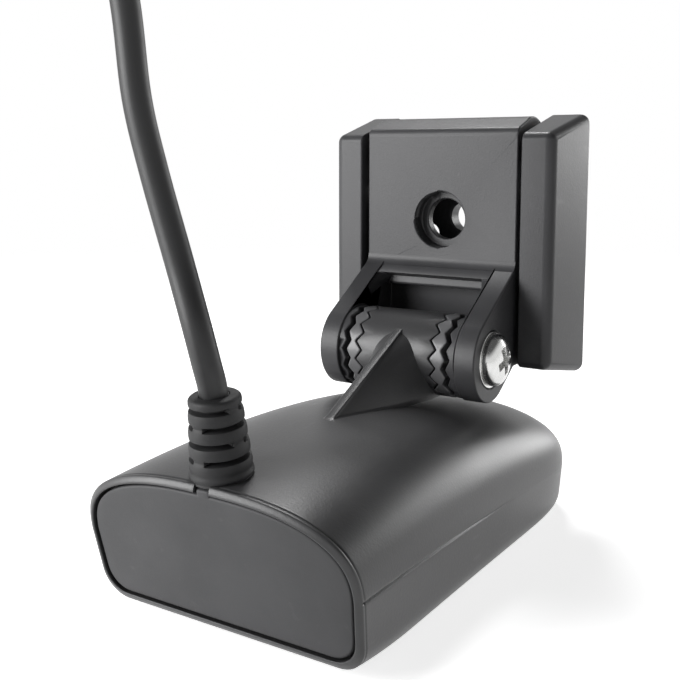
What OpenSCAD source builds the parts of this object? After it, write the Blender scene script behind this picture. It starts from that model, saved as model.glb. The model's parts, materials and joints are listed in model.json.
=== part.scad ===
// Transom-mount sonar transducer: a potted pod on a ratchet pivot, with a kick-up bracket and its cable.
// X runs along the pivot bolt, Y from the aft end cap to the transom, Z up from the sounding face.

/* [Pod] */
// Length of the pod from its aft bottom edge to its nose
pod_length = 114.6; // [110:0.2:130]
// Length of the flat sounding face
sole_length = 105.2; // [96:0.2:108]
// Width of the pod at its seam
pod_width = 66.4; // [58:0.2:76]
// Height of the crown at its highest point
pod_height = 36; // [32:0.5:38]
// How far the crown falls from its highest point to the aft rim
crown_fall_aft = 2.8; // [0:0.2:4]
// How far the crown falls from its highest point to the nose
crown_fall_fore = 11; // [9:0.2:16]
// Distance of the crown's highest point from the aft edge
crown_peak = 40; // [30:1:50]
// Height of the seam, the widest line of the sides
seam_height = 17.2; // [14:0.2:19]
// Height of the nose's tip
nose_height = 12; // [9:0.5:14]
// Lean of the sides under the seam, in degrees
side_lean = 5; // [3:1:14]
// Radius along the bottom edges
bottom_r = 7; // [4:0.5:8]
// Rake of the aft face, in degrees
aft_rake = 11.5; // [8:0.1:20]
// Rise of the sole to its aft edge
aft_rise = 2.2; // [0:0.1:3]
// Wall of the moulded housing
pod_wall = 3; // [2.4:0.1:4]

/* [End cap] */
// Width of the rim round the end cap
rim_w = 1.5; // [1:0.1:2]
// Depth of the pocket that takes the end cap
cap_depth = 3.4; // [2.8:0.1:5]
// Depth of the cap's face below the rim
cap_recess = 0.4; // [0.2:0.1:0.8]
// Gap round the end cap
cap_gap = 0.5; // [0.2:0.1:0.7]
// Width of the key tab at the top of the cap
key_w = 3.2; // [2:0.2:5]

/* [Strut and knuckle] */
// Distance of the pivot axis forward of the sole's centre
pivot_y = 24; // [18:0.5:28]
// Height of the pivot axis above the sole
pivot_z = 44.8; // [44:0.2:52]
// Radius of the knuckle barrel and its ratchets
knuckle_r = 10.4; // [9.6:0.1:11]
// Half width of the knuckle at the middle of its teeth
knuckle_half = 10.4; // [9:0.2:11]
// Width of each ratchet at the middle of its teeth
ratchet_w = 2.9; // [2.6:0.1:3.2]
// Teeth on each face of the knuckle, the ratchets and the ears
ratchet_teeth = 14; // [12:1:24]
// Depth of the teeth between knuckle and ratchets
tooth_depth = 1.7; // [1:0.1:2]
// Depth of the teeth between ratchets and ears
ear_tooth_depth = 1.1; // [0.6:0.1:1.4]
// Distance of the strut's foot aft of the pivot axis
strut_reach = 40; // [30:1:44]
// Radius of the strut's leading edge
strut_edge_r = 1.2; // [0.8:0.1:2]

/* [Pivot arm] */
// Radius of the ears round the bolt
ear_r = 10.7; // [10:0.1:11.4]
// Distance of the ears' inner faces from the middle
ear_in = 16.4; // [15.4:0.1:17]
// Half width of the pivot plate and the ears
plate_half = 21.8; // [21:0.1:23]
// Thickness of the pivot plate
plate_th = 7; // [6:0.5:8]
// Height of the plate's front over the bracket's front
plate_rise = 1.4; // [0:0.1:2]
// Height of the fold over the bracket's foot, where the plate turns into the arms
fold_rise = 25.6; // [23:0.2:28]
// Length of the sloping cross-bar under the fold
lip_drop = 5; // [4:0.2:7]
// Radius of the cross-bar's lower edge
lip_r = 1.7; // [1:0.1:2.2]
// Distance of that lower edge behind the front of the cross-bar
lip_back = 4.9; // [2:0.1:5.5]
// Width of the gussets in the corners between cross-bar and arms
gusset_w = 3; // [1:0.2:4]
// Length of the gussets along the arms
gusset_len = 9; // [5:0.5:10]
// Thickness of the wall behind the knuckle
back_wall = 3.6; // [2.6:0.2:4.4]
// Radius of the lock screw's counterbore
lock_cbore_r = 7.5; // [6:0.1:8]
// Depth of the lock screw's counterbore
lock_cbore_depth = 4.2; // [2:0.1:4.8]
// Radius of the lock screw's bore in the plate
lock_bore_r = 5.4; // [3:0.1:5.8]
// Height of the lock screw over the bracket's foot
lock_rise = 37.2; // [34.5:0.1:38]

/* [Bracket] */
// Distance from the pivot axis to the bracket's front
bracket_reach = 13.6; // [13:0.1:16]
// Height of the bracket's front
bracket_h = 60; // [58:0.5:66]
// Depth of the bracket from its front to the transom
bracket_d = 20.3; // [20:0.1:24]
// Half width of the bracket's front
bracket_half = 31.8; // [30.5:0.1:35]
// Widening of the bracket towards the transom, each side
flare_x = 1.5; // [0.5:0.1:3]
// Rise of the bracket's top towards the transom
flare_top = 4.7; // [3:0.1:5.5]
// Fall of the bracket's foot towards the transom
flare_foot = 3.5; // [2:0.1:5]
// Drop of the bracket's foot below the pivot axis
foot_drop = 4.4; // [2:0.1:5]
// How far the cheeks stand in front of the plate
cheek_lead = 1.4; // [0:0.1:2]
// Gap between the pivot plate and each cheek
cheek_gap = 1.4; // [0.8:0.1:1.8]
// Thickness of the web behind the plate
web_th = 5; // [4:0.1:6]
// Edge radius of the bracket
edge_r = 2.5; // [1.5:0.1:3]
// Distance of each screw slot from the middle
slot_x = 10.5; // [9:0.5:12.5]
// Radius of the screw slots
slot_r = 2.7; // [2.2:0.1:3.2]
// Length of the screw slots between their end centres
slot_len = 10; // [6:0.5:14]
// Drop of the slots' middle below the lock screw
slot_drop = 10; // [9:0.2:14]
// Radius of the lock screw's hole in the web
web_hole_r = 4; // [2.5:0.1:4.4]

/* [Kick-up pivot] */
// Distance of the kick-up axis behind the bracket's front
kick_y_rise = 10.4; // [9.6:0.1:10.6]
// Height of the kick-up axis over the bracket's foot
kick_z_rise = 54.6; // [53:0.1:55]
// Radius of the plate's head round the kick-up axis
head_r = 9.5; // [8.4:0.1:9.6]
// Radius of the kick-up trunnions
trunnion_r = 3; // [2:0.1:4]
// Length of each trunnion inside its cheek
trunnion_len = 4; // [2.5:0.1:5]

/* [Pivot bolt] */
// Diameter of the pivot bolt
bolt_d = 6.35; // [5:0.05:7]
// Radius of the bolt's head
bolt_head_r = 6.4; // [5:0.1:7]
// Height of the bolt's head
bolt_head_h = 3.6; // [2.6:0.1:4.2]
// Radius of the washer under the head
washer_r = 7; // [6:0.1:7.4]
// Thickness of the washer
washer_th = 1; // [0.6:0.1:1.4]
// Width of the lock nut across its flats
nut_flats = 11.1; // [9:0.1:12]
// Height of the lock nut
nut_h = 6; // [4:0.1:8]

/* [Cable and boot] */
// Diameter of the cable
cable_d = 5.6; // [5:0.1:6]
// Distance of the boot forward of the pod's aft edge, along the crown
boot_station = 6.4; // [6.2:0.1:10]
// Lean of the boot towards the aft end, in degrees
boot_lean = 6.9; // [0:0.1:10]
// Height of the boot over the crown
boot_h = 16; // [12:0.1:18]
// Radius of the boot at its collar
boot_base_r = 6.1; // [5.6:0.1:6.2]
// Radius of the boot at its top
boot_top_r = 4.8; // [4.2:0.1:5.2]
// Levels of flex slots in the boot
boot_levels = 4; // [2:1:5]
// Height of each flex slot
flex_slot_h = 1.2; // [0.8:0.1:1.6]

/* [Elements] */
// Length of the line crystal
line_len = 60; // [40:1:64]
// Width of the line crystal
line_w = 6; // [4:0.2:8]
// Height of the line crystal
line_h = 8; // [5:0.2:9]
// Radius of the disc crystal
disc_r = 15; // [10:0.5:16]
// Thickness of the disc crystal
disc_h = 9; // [5:0.2:10]
// Thickness of the backing pads
backing_h = 3; // [2:0.2:4]

/* [Plug] */
// Radius of the plug's shell
plug_r = 7.4; // [6.4:0.1:8]
// Length of the plug's shell
plug_len = 24; // [18:0.5:30]
// Wall of the plug's socket
plug_wall = 1.4; // [1:0.1:2]
// Pins in the plug
plug_pin_count = 7; // [5:1:8]

/* [Clearances] */
// Radial gap of the turning fits
running_gap = 0.06; // [0.03:0.01:0.1]
// Gap between faces that turn or slide past each other
face_gap = 0.1; // [0.05:0.01:0.3]
// Gap between the teeth of the knuckle and the ratchets
mesh_gap = 0.4; // [0.2:0.05:0.6]
// Gap round pieces that are set in by hand
set_gap = 0.2; // [0.1:0.05:0.4]

/* [Hidden] */

$fn = 48;
cut = 1;

// Colours
charcoal = "#47494b";
charcoal_light = "#636568";
charcoal_dark = "#333537";
steel = "#c9ccce";
ceramic = "#d8d0bd";
cork = "#9a7248";
resin = "#2a2622";
brass = "#c2a14d";
copper = "#b87333";

// Pod: the aft edge of the sole, the section's powers and the runs over which the ends close
pod_aft = -sole_length / 2;
shoulder_power = 2.6;
plan_run = 52;
plan_power = 5;
roof_run = 20;
roof_power = 2.4;
keel_run = pod_length - sole_length;
keel_power = 2.2;
aft_run = 22;
nose_ease = 88.65;
corner_steps = 4;
shoulder_steps = 11;

// End cap: the key tab stops short of the crown
key_drop = 1;
key_d = 1.4;
cap_inset = rim_w + cap_gap;

// Strut: where its edge meets the knuckle, and the root that carries the knuckle under its teeth
strut_top_angle = 145;
tooth_relief = 0.3;
root_half = knuckle_half - tooth_depth / 2 - tooth_relief;
root_y = 0.8 * knuckle_r;

// Teeth: the ratchets' outer faces, and the ears' faces, which let the teeth pass when the arm turns
tooth_blank = 1.4 * knuckle_r;
tooth_turn = -4;
ratchet_out = knuckle_half + ratchet_w;
ear_teeth_x = ratchet_out + ear_tooth_depth + set_gap;

// Pivot and bracket places
fold_z = pivot_z - foot_drop + fold_rise;
foot_z = pivot_z - foot_drop;
front_y = pivot_y + bracket_reach;
plate_back = front_y + plate_th;
back_y = front_y + bracket_d;
web_front = back_y - web_th;
cheek_in = plate_half + cheek_gap;
kick_y = front_y + kick_y_rise;
kick_z = foot_z + kick_z_rise;
lock_z = foot_z + lock_rise;
slot_z = lock_z - slot_drop;
head_gap = 1;
web_top = kick_z - head_r - head_gap;
bolt_r = bolt_d / 2;

// Pivot arm: its outline in (Y, Z), the lip under the fold and the ribs behind the plate
heel_gap = 0.2;
axis_yz = [pivot_y, pivot_z];
fold_yz = [front_y, fold_z];
heel_yz = [front_y, foot_z + heel_gap];
arm_top = touch_point(fold_yz, axis_yz, ear_r, 1);
arm_foot = touch_point(heel_yz, axis_yz, ear_r, -1);
slope = (arm_top - fold_yz) / norm(arm_top - fold_yz);
lip_edge = fold_yz + lip_drop * slope;
lip_under = 2;
lip_yz = lip_edge + [lip_back, -lip_under];
bar_sunk = 0.15 * [-slope[1], slope[0]];
gusset_th = 3;
gusset_sunk = 0.3;
gusset_root = 3;
plate_edge_r = 2;
rib_th = 2.4;
rib_rise = 4;

// Bolt and nut: the cross recess, the shank past the nut and the nut's locking collar
recess_w = 1.5;
recess_len = 0.95 * bolt_head_r;
recess_turn = 20;
bolt_end = 1.2;
nut_sunk = nut_h / 2;
nut_hex_h = 0.8 * nut_h;
nut_collar_r = 0.44 * nut_flats;

// Bracket: walls of the cored cheeks
core_wall = 2.4;
core_skin = 2.2;
core_front = 4;
core_floor = 3;
core_rib = 2;
core_head = 8;

// Boot: its foot on the crown, its seat in the roof, its rings and the facing of its slots
boot_way = [0, -sin(boot_lean), cos(boot_lean)];
boot_foot = [0, pod_aft + boot_station - rake(boot_station) * crown(boot_station), crown(boot_station)];
boot_seat = 1.2;
collar_seat = 0.4;
boot_plug_r = boot_base_r - 2;
boot_collar_h = 1.5;
boot_groove = 0.3;
boot_crest = 0.55;
boot_bevel = 0.8;
boot_core = 0.8;
slot_place = 0.85;
slot_facing = -95;
slot_sweep = 150;
tail_depth = 4.5;

// Elements stand on the floor of the housing
line_x = -15;
disc_x = 10;
line_y = -1;
disc_y = 2;
floor_z = pod_wall + set_gap;
bead_r = 2;
bead_at = [18, -30, floor_z];

// Leads: three wires from the end of the cable to the line crystal, the disc crystal and the bead
lead_r = 0.6;
lead_sides = 6;
lead_step = 1.4;
lead_straight = 1.5;
lead_start = boot_foot - (tail_depth + face_gap) * boot_way;
lead_end = lead_start - lead_straight * boot_way;
lead_side = [lead_step, 0, 0];
line_tag = [line_x, line_y - line_len / 2 - face_gap, floor_z + line_h / 2];
disc_tag = [disc_x, disc_y - disc_r - face_gap, floor_z + disc_h / 2];
bead_tag = bead_at + [0, 0, 3 * bead_r + face_gap];
lead_routes = [
    [lead_start - lead_side, lead_end - lead_side, lead_end + [-3, 3, -5], line_tag + [0, -6, 3],
        line_tag - [0, 3, 0], line_tag],
    [lead_start, lead_end, lead_end + [1, 5, -5], disc_tag + [0, -12, 6],
        disc_tag - [0, 3, 0], disc_tag],
    [lead_start + lead_side, lead_end + lead_side, lead_end + [5, 3, -4], bead_tag + [-3, -4, 8],
        bead_tag + [0, 0, 3], bead_tag]
];

// Free cable: straight out of the boot, clear of the lock screw's way in, over an arch and down to the hank
boot_top = boot_foot + boot_h * boot_way;
cable_straight = 6;
cable_route = [
    boot_top, boot_top + cable_straight * boot_way,
    [-2.6, -56.4, 63.3], [-7.2, -55.7, 74.9], [-12, -56.8, 91.7], [-14.5, -58.2, 105.2], [-16, -59, 122.4],
    [-17, -62, 137], [-19, -69.5, 148], [-22, -81, 153], [-25.5, -94, 150], [-28.5, -105, 140],
    [-31, -113, 126], [-33, -118, 109], [-34.5, -121.5, 91], [-36, -124.5, 72], [-37.8, -127.5, 54],
    [-40, -131, 37], [-42.4, -136, 22], [-44.2, -143, 10.5], [-44.6, -151, 4.4], [-43.6, -160, 2.8],
    [-41.2, -169, 2.8]
];
cable_sides = 10;

// Hank: a racetrack of turns, and the plug that lies on its right leg
hank_x = -5;
hank_front = -121;
hank_len = 130;
hank_w = 74;
hank_columns = 4;
hank_layers = 5;
hank_h = hank_layers * cable_d;
hank_leg = hank_columns * cable_d;
hank_y = hank_front - hank_len / 2;
leg_x = hank_w / 2 - hank_leg / 2;
tie_w = 12;
tie_th = 1.2;
plug_x = hank_x + leg_x;
plug_y = -160;
plug_collar_r = plug_r + 1.5;
plug_z = hank_h + plug_collar_r;
plug_boot_len = 16;
plug_socket = 0.45 * plug_len;
plug_key = 1.6;
collar_at = 0.35 * plug_len;
collar_len = 0.4 * plug_len;
collar_ribs = 16;
collar_rib_r = 0.6;
insert_h = 2.5;
pin_r = 0.6;
pin_ring_r = 0.58 * (plug_r - plug_wall);
pin_len = plug_socket - 3;
lead_out_route = [
    [plug_x, plug_y - plug_len - plug_boot_len, plug_z], [plug_x, -205, plug_z], [plug_x, -211, 35.4],
    [plug_x, -218, 32], [plug_x, -226, 29.2], [plug_x - 2, -234, 27.4]
];

// Fraction of a full width left at a share s of the way along a closing end
function closing(s, power) = pow(max(0, 1 - pow(max(0, s), power)), 1 / power);

// Slope of the section planes: raked at the aft face, upright at the nose
function rake(y) = tan(aft_rake) * (1 - y / pod_length);

// Height of the crown above the sole at a station y from the aft edge
function crown(y) = pod_height - (y < crown_peak
    ? crown_fall_aft * pow((crown_peak - y) / crown_peak, 2)
    : crown_fall_fore * pow((y - crown_peak) / (pod_length - crown_peak), 2));

// Right half of the pod's section at a station: rounded bottom edge, leaning side, superelliptic shoulder
function half_section(y, inset) =
    let (
        to_nose = pod_length - inset - y,
        half_w = (pod_width / 2 - inset) * closing(1 - to_nose / plan_run, plan_power),
        seam = seam_height + (nose_height - seam_height) * pow(y / pod_length, 2),
        top = nose_height + (crown(y) - inset - nose_height) * closing(1 - to_nose / roof_run, roof_power),
        keel = nose_height - (nose_height - inset) * closing(1 - to_nose / keel_run, keel_power),
        bottom = keel + aft_rise * pow(max(0, 1 - y / aft_run), 2),
        low = seam - bottom,
        r = bottom_r * low / seam_height,
        corner_x = half_w - r * cos(side_lean) - tan(side_lean) * (low - r + r * sin(side_lean))
    )
    concat(
        [for (i = [0 : corner_steps]) let (a = -90 + (90 - side_lean) * i / corner_steps)
            [corner_x + r * cos(a), bottom + r + r * sin(a)]],
        [for (i = [0 : shoulder_steps]) let (a = 90 * i / shoulder_steps)
            [half_w * pow(cos(a), 2 / shoulder_power), seam + (top - seam) * pow(sin(a), 2 / shoulder_power)]]
    );

// The whole section as points in space, its plane raked with the station
function section_ring(y, inset) =
    let (
        half = half_section(y, inset),
        last = len(half) - 1,
        outline = concat(half, [for (i = [last - 1 : -1 : 0]) [-half[i][0], half[i][1]]])
    )
    [for (p = outline) [p[0], pod_aft + y - rake(y) * p[1], p[1]]];

// Faces of a skin over rings of equal length, closed at both ends
function skin_faces(rings, sides) = concat(
    [[for (j = [sides - 1 : -1 : 0]) j]],
    [for (i = [0 : rings - 2]) for (j = [0 : sides - 1]) let (k = (j + 1) % sides)
        [i * sides + j, i * sides + k, (i + 1) * sides + j]],
    [for (i = [0 : rings - 2]) for (j = [0 : sides - 1]) let (k = (j + 1) % sides)
        [i * sides + k, (i + 1) * sides + k, (i + 1) * sides + j]],
    [[for (j = [0 : sides - 1]) (rings - 1) * sides + j]]
);

module skin(rings) {
    sides = len(rings[0]);
    polyhedron(points = [for (ring = rings) for (p = ring) p], faces = skin_faces(len(rings), sides));
}

// The pod's form between two stations, set in from the outside; an eased one closes towards the nose
module pod_form(inset, from, to, steps, eased) {
    skin([for (i = [0 : steps])
        section_ring(from + (to - from) * (eased ? sin(nose_ease * i / steps) : i / steps), inset)]);
}

// A 2-D profile in (Y, Z) carried along X from one place to another
module along_x(from, to) {
    translate([from, 0, 0]) rotate([90, 0, 90]) linear_extrude(to - from) children();
}

// A cylinder along X at a place in (Y, Z)
module rod_x(y, z, r, from, to) {
    translate([from, y, z]) rotate([0, 90, 0]) cylinder(r = r, h = to - from);
}

// A cylinder along Y at a place in (X, Z)
module rod_y(x, z, r, from, to) {
    translate([x, from, z]) rotate([-90, 0, 0]) cylinder(r = r, h = to - from);
}

// A straight round rod between two points
module rod(a, b, r) {
    v = b - a;
    translate(a) rotate([0, acos(v[2] / norm(v)), atan2(v[1], v[0])]) cylinder(r = r, h = norm(v), $fn = 16);
}

// Point where a line from p touches a circle, on the side given as 1 or -1
function touch_point(p, centre, r, side) =
    let (v = p - centre, a = atan2(v[1], v[0]) + side * acos(r / norm(v)))
    centre + r * [cos(a), sin(a)];

// The boot's own axes: Z along the cable, from the crown
module boot_axes() {
    translate(boot_foot) rotate([boot_lean, 0, 0]) children();
}

// The aft face's own axes: Z up along the raked face
module aft_axes() {
    translate([0, pod_aft, 0]) rotate([aft_rake, 0, 0]) children();
}

// Everything on one side of a ring of radial teeth: flanks through the middle, so they mesh all along.
// The first tooth points up for a depth over zero and down for one under it.
module tooth_side(depth, height) {
    count = 2 * ratchet_teeth;
    rise = depth / 2 * tooth_blank / knuckle_r;
    rim = [for (i = [0 : count - 1]) let (a = 360 * i / count)
        [tooth_blank * cos(a), tooth_blank * sin(a), i % 2 == 0 ? rise : -rise]];
    lid = [for (p = rim) [p[0], p[1], height]];
    polyhedron(
        points = concat([[0, 0, 0]], rim, lid),
        faces = concat(
            [for (i = [0 : count - 1]) [0, 1 + i, 1 + (i + 1) % count]],
            [for (i = [0 : count - 1]) [1 + i, 1 + count + i, 1 + count + (i + 1) % count]],
            [for (i = [0 : count - 1]) [1 + i, 1 + count + (i + 1) % count, 1 + (i + 1) % count]],
            [[for (i = [count - 1 : -1 : 0]) 1 + count + i]]
        )
    );
}

// Everything to the right of a toothed face across the bolt
module right_of_teeth(at, depth) {
    translate([at, pivot_y, pivot_z]) rotate([tooth_turn, 0, 0]) rotate([0, 90, 0]) tooth_side(depth, ear_in);
}

// Strut: a narrow raked leading edge that spreads to the width of the knuckle
module strut() {
    foot = [0, pivot_y - strut_reach, crown(pivot_y - strut_reach - pod_aft) - 2 * strut_edge_r];
    edge_at = knuckle_r - strut_edge_r / 2;
    top = [0, pivot_y + edge_at * cos(strut_top_angle), pivot_z + edge_at * sin(strut_top_angle)];
    hull() {
        translate(foot) sphere(strut_edge_r, $fn = 20);
        translate(top) sphere(strut_edge_r, $fn = 20);
        translate([-root_half, pivot_y - root_y, pivot_z - 2 * knuckle_r])
            cube([2 * root_half, 2 * root_y, knuckle_r]);
        translate([-root_half, pivot_y - root_y / 2, pivot_z - 1])
            cube([2 * root_half, root_y, 2]);
    }
}

// Housing: one moulding of the hollow pod, its strut and the toothed knuckle
module housing() color(charcoal) difference() {
    union() {
        pod_form(0, 0, pod_length, 26, true);
        difference() {
            union() {
                strut();
                rod_x(pivot_y, pivot_z, knuckle_r, -knuckle_half - tooth_depth, knuckle_half + tooth_depth);
            }
            for (side = [0, 1]) mirror([side, 0, 0]) right_of_teeth(knuckle_half - mesh_gap / 2, tooth_depth);
        }
    }
    pod_form(rim_w, -cut, cap_depth, 1, false);
    pod_form(pod_wall, cap_depth - set_gap, pod_length - pod_wall, 18, true);
    rod_x(pivot_y, pivot_z, bolt_r + running_gap, -ear_in, ear_in);
    boot_axes() {
        translate([0, 0, -boot_seat]) cylinder(r = boot_plug_r + face_gap, h = boot_h);
        translate([0, 0, -collar_seat]) cylinder(r = boot_base_r + face_gap, h = boot_h);
        translate([0, 0, -tail_depth]) cylinder(r = cable_d / 2 + face_gap, h = boot_h);
    }
    aft_axes() translate([-key_w / 2 - set_gap, -cut, (crown(0) - rim_w - 2 * cap_gap) / cos(aft_rake)])
        cube([key_w + 2 * set_gap, cap_depth, 4 * rim_w]);
}

// End cap: a plate in the raked rim, keyed at its top
module end_cap() color(charcoal_light) {
    top = crown(0) / cos(aft_rake);
    pod_form(cap_inset, cap_recess, cap_depth - set_gap, 1, false);
    aft_axes() translate([-key_w / 2, cap_recess, top - 3 * cap_inset])
        cube([key_w, key_d, 3 * cap_inset - key_drop]);
}

// Potting: the resin that fills the housing round its elements
module potting() color(resin) difference() {
    pod_form(pod_wall, cap_depth, pod_length - pod_wall, 18, true);
    line_crystal();
    line_backing();
    disc_crystal();
    disc_backing();
    temperature_bead();
    element_leads();
    cable_tail();
}

// Line crystal: the long bar that draws the narrow fan beam
module line_crystal() color(ceramic)
    translate([line_x - line_w / 2, line_y - line_len / 2, floor_z]) cube([line_w, line_len, line_h]);

module line_backing() color(cork)
    translate([line_x - line_w / 2, line_y - line_len / 2, floor_z + line_h])
        cube([line_w, line_len, backing_h]);

// Disc crystal: the round element of the cone beam
module disc_crystal() color(ceramic)
    translate([disc_x, disc_y, floor_z]) cylinder(r = disc_r, h = disc_h);

module disc_backing() color(cork)
    translate([disc_x, disc_y, floor_z + disc_h]) cylinder(r = disc_r, h = backing_h);

// Temperature bead: a small sensor on the floor of the housing
module temperature_bead() color(steel) translate(bead_at) {
    cylinder(r = bead_r, h = 2 * bead_r);
    translate([0, 0, 2 * bead_r]) sphere(bead_r);
}

// Leads from the end of the cable to the elements
module element_leads() color(copper)
    for (route = lead_routes) skin(tube_rings(route, lead_r, lead_sides));

// Boot: the moulded strain relief, with flex slots that turn a quarter from level to level
module cable_boot() color(charcoal_dark) boot_axes() difference() {
    pitch = (boot_h - boot_collar_h) / (boot_levels + 0.5);
    taper = (boot_top_r - boot_base_r) / boot_h;
    union() {
        translate([0, 0, -boot_seat]) cylinder(r = boot_plug_r, h = boot_seat);
        rotate_extrude() polygon(concat(
            [[0, -collar_seat], [boot_base_r, -collar_seat], [boot_base_r, 0.8 * boot_collar_h]],
            [for (i = [0 : boot_levels - 1]) for (s = [0, 1])
                let (h = boot_collar_h + pitch * (i + boot_crest * s))
                [boot_base_r + taper * h - boot_groove * (1 - s), h]],
            [[boot_top_r - boot_groove, boot_collar_h + pitch * boot_levels],
                [boot_top_r, boot_h - boot_bevel], [boot_top_r - boot_bevel, boot_h], [0, boot_h]]
        ));
    }
    translate([0, 0, -boot_seat - cut])
        cylinder(r = cable_d / 2 + face_gap, h = boot_h + 2 * boot_seat + cut);
    for (i = [0 : boot_levels - 1]) for (turn = [0, 180])
        translate([0, 0, boot_collar_h + pitch * (i + slot_place) - flex_slot_h / 2])
            rotate([0, 0, slot_facing - slot_sweep / 2 + 90 * (i + 1) + turn])
                rotate_extrude(angle = slot_sweep)
                    translate([cable_d / 2 + boot_core, 0]) square([boot_base_r, flex_slot_h]);
}

// Cable tail: the end of the cable inside the boot and the housing
module cable_tail() color(charcoal_dark) boot_axes()
    translate([0, 0, -tail_depth]) cylinder(r = cable_d / 2, h = boot_h + tail_depth);

// Ratchet: a ring with teeth on both faces, widest where they point apart
module ratchet() color(charcoal_dark) difference() {
    intersection() {
        rod_x(pivot_y, pivot_z, knuckle_r, knuckle_half - tooth_depth, ear_in);
        right_of_teeth(knuckle_half + mesh_gap / 2, tooth_depth);
    }
    right_of_teeth(ratchet_out, -ear_tooth_depth);
    rod_x(pivot_y, pivot_z, bolt_r + running_gap, 0, ear_in);
}

module ratchet_right() ratchet();

module ratchet_left() mirror([1, 0, 0]) ratchet();

// Arm: a side wall from the fold, tangent to the ear round the bolt
module arm_profile() {
    translate(axis_yz) circle(ear_r, $fn = 96);
    polygon([arm_top, fold_yz, [plate_back, fold_z], [plate_back, heel_yz[1]], heel_yz, arm_foot]);
}

// Cross-bar: the sloping face under the fold, the rounded edge under it, and the wall behind the knuckle
module cross_bar_profile() {
    under = lip_yz[1] - lip_r;
    polygon([fold_yz + bar_sunk, lip_edge + bar_sunk, lip_yz, [lip_yz[0], under], [plate_back, under],
        [plate_back, fold_z + cut], [fold_yz[0] + bar_sunk[0], fold_z + cut]]);
    translate(lip_yz) circle(lip_r, $fn = 32);
    translate([plate_back - back_wall, heel_yz[1]]) square([back_wall, fold_z - heel_yz[1]]);
}

// Gusset: a triangle under the sloping face, in the corner between the cross-bar and the right arm
module gusset() {
    translate([0, fold_yz[0], fold_yz[1]]) rotate([atan2(-slope[1], -slope[0]), 0, 0])
        translate([0, -lip_drop, -gusset_th - gusset_sunk]) linear_extrude(gusset_th)
            polygon([[ear_in - gusset_w, gusset_root], [ear_in + cut, -gusset_len],
                [ear_in + cut, gusset_root]]);
}

// Plate: upright under the head, which is round about the kick-up axis on the transom side
module plate_profile() {
    translate([front_y, fold_z]) square([plate_th, kick_z - fold_z]);
    hull() {
        translate([kick_y, kick_z]) circle(head_r, $fn = 96);
        translate([front_y + plate_edge_r, foot_z + bracket_h + plate_rise - plate_edge_r])
            circle(plate_edge_r, $fn = 32);
        translate([front_y, kick_z - head_r]) square(1);
    }
}

// Pivot arm: plate, two arms with toothed ears, and trunnions, moulded in one
module pivot_arm() color(charcoal) difference() {
    union() {
        along_x(-plate_half, plate_half) plate_profile();
        for (side = [0, 1]) mirror([side, 0, 0]) {
            along_x(ear_in, plate_half) arm_profile();
            gusset();
            intersection() {
                rod_x(pivot_y, pivot_z, knuckle_r, ratchet_out, ear_in + cut);
                right_of_teeth(ear_teeth_x, -ear_tooth_depth);
            }
            rod_x(kick_y, kick_z, trunnion_r, plate_half - cut, cheek_in + trunnion_len);
            translate([plate_half - 2 * rib_th, plate_back - cut, foot_z + rib_rise])
                cube([rib_th, web_front - set_gap - plate_back + cut, fold_rise]);
        }
        along_x(-ear_in - cut, ear_in + cut) cross_bar_profile();
    }
    rod_x(pivot_y, pivot_z, bolt_r + running_gap, -plate_half - cut, plate_half + cut);
    rod_x(pivot_y, pivot_z, washer_r + set_gap, plate_half - washer_th, plate_half + cut);
    translate([-plate_half - cut, pivot_y, pivot_z]) rotate([0, 90, 0])
        cylinder(r = (nut_flats / 2 + set_gap) / cos(30), h = cut + nut_sunk, $fn = 6);
    rod_y(0, lock_z, lock_cbore_r, front_y - cut, front_y + lock_cbore_depth);
    rod_y(0, lock_z, lock_bore_r, front_y - cut, plate_back + cut);
}

// Pivot bolt: a pan head with a cross recess, a plain shank through the knuckle to the nut
module pivot_bolt() color(steel) difference() {
    union() {
        rod_x(pivot_y, pivot_z, bolt_r, -plate_half + nut_sunk - nut_h - bolt_end, plate_half + cut);
        translate([plate_half, pivot_y, pivot_z]) rotate([0, 90, 0]) rotate_extrude() polygon(concat(
            [[0, 0], [bolt_head_r, 0]],
            [for (i = [0 : 8]) let (a = 90 * i / 8)
                [bolt_head_r * pow(cos(a), 0.7), 0.25 * bolt_head_h + 0.75 * bolt_head_h * pow(sin(a), 0.9)]]
        ));
    }
    for (turn = [0, 90]) translate([plate_half + bolt_head_h, pivot_y, pivot_z])
        rotate([recess_turn + turn, 0, 0]) cube([bolt_head_h, recess_len, recess_w], center = true);
}

module bolt_washer() color(steel) difference() {
    rod_x(pivot_y, pivot_z, washer_r, plate_half - washer_th, plate_half);
    rod_x(pivot_y, pivot_z, bolt_r + running_gap, plate_half - 2 * washer_th, plate_half + cut);
}

// Lock nut: a hexagon in the left ear's pocket, with a domed locking collar
module lock_nut() color(steel) difference() {
    base_x = -plate_half + nut_sunk;
    union() {
        translate([base_x, pivot_y, pivot_z]) rotate([0, -90, 0])
            cylinder(r = nut_flats / 2 / cos(30), h = nut_hex_h, $fn = 6);
        rod_x(pivot_y, pivot_z, nut_collar_r, base_x - nut_h, base_x - nut_hex_h + face_gap);
    }
    rod_x(pivot_y, pivot_z, bolt_r, base_x - nut_h - cut, base_x + cut);
}

// Outer form of the bracket: a block with round edges that flares to a flat back
module bracket_block() {
    top_z = foot_z + bracket_h;
    hull() for (side = [-1, 1]) {
        for (z = [foot_z + edge_r, top_z - edge_r])
            translate([side * (bracket_half - edge_r), front_y - cheek_lead + edge_r, z])
                sphere(edge_r, $fn = 24);
        for (z = [foot_z - flare_foot + edge_r, top_z + flare_top - edge_r])
            translate([side * (bracket_half + flare_x - edge_r), back_y - 1, z])
                rotate([-90, 0, 0]) cylinder(r = edge_r, h = 1, $fn = 24);
    }
}

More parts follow.
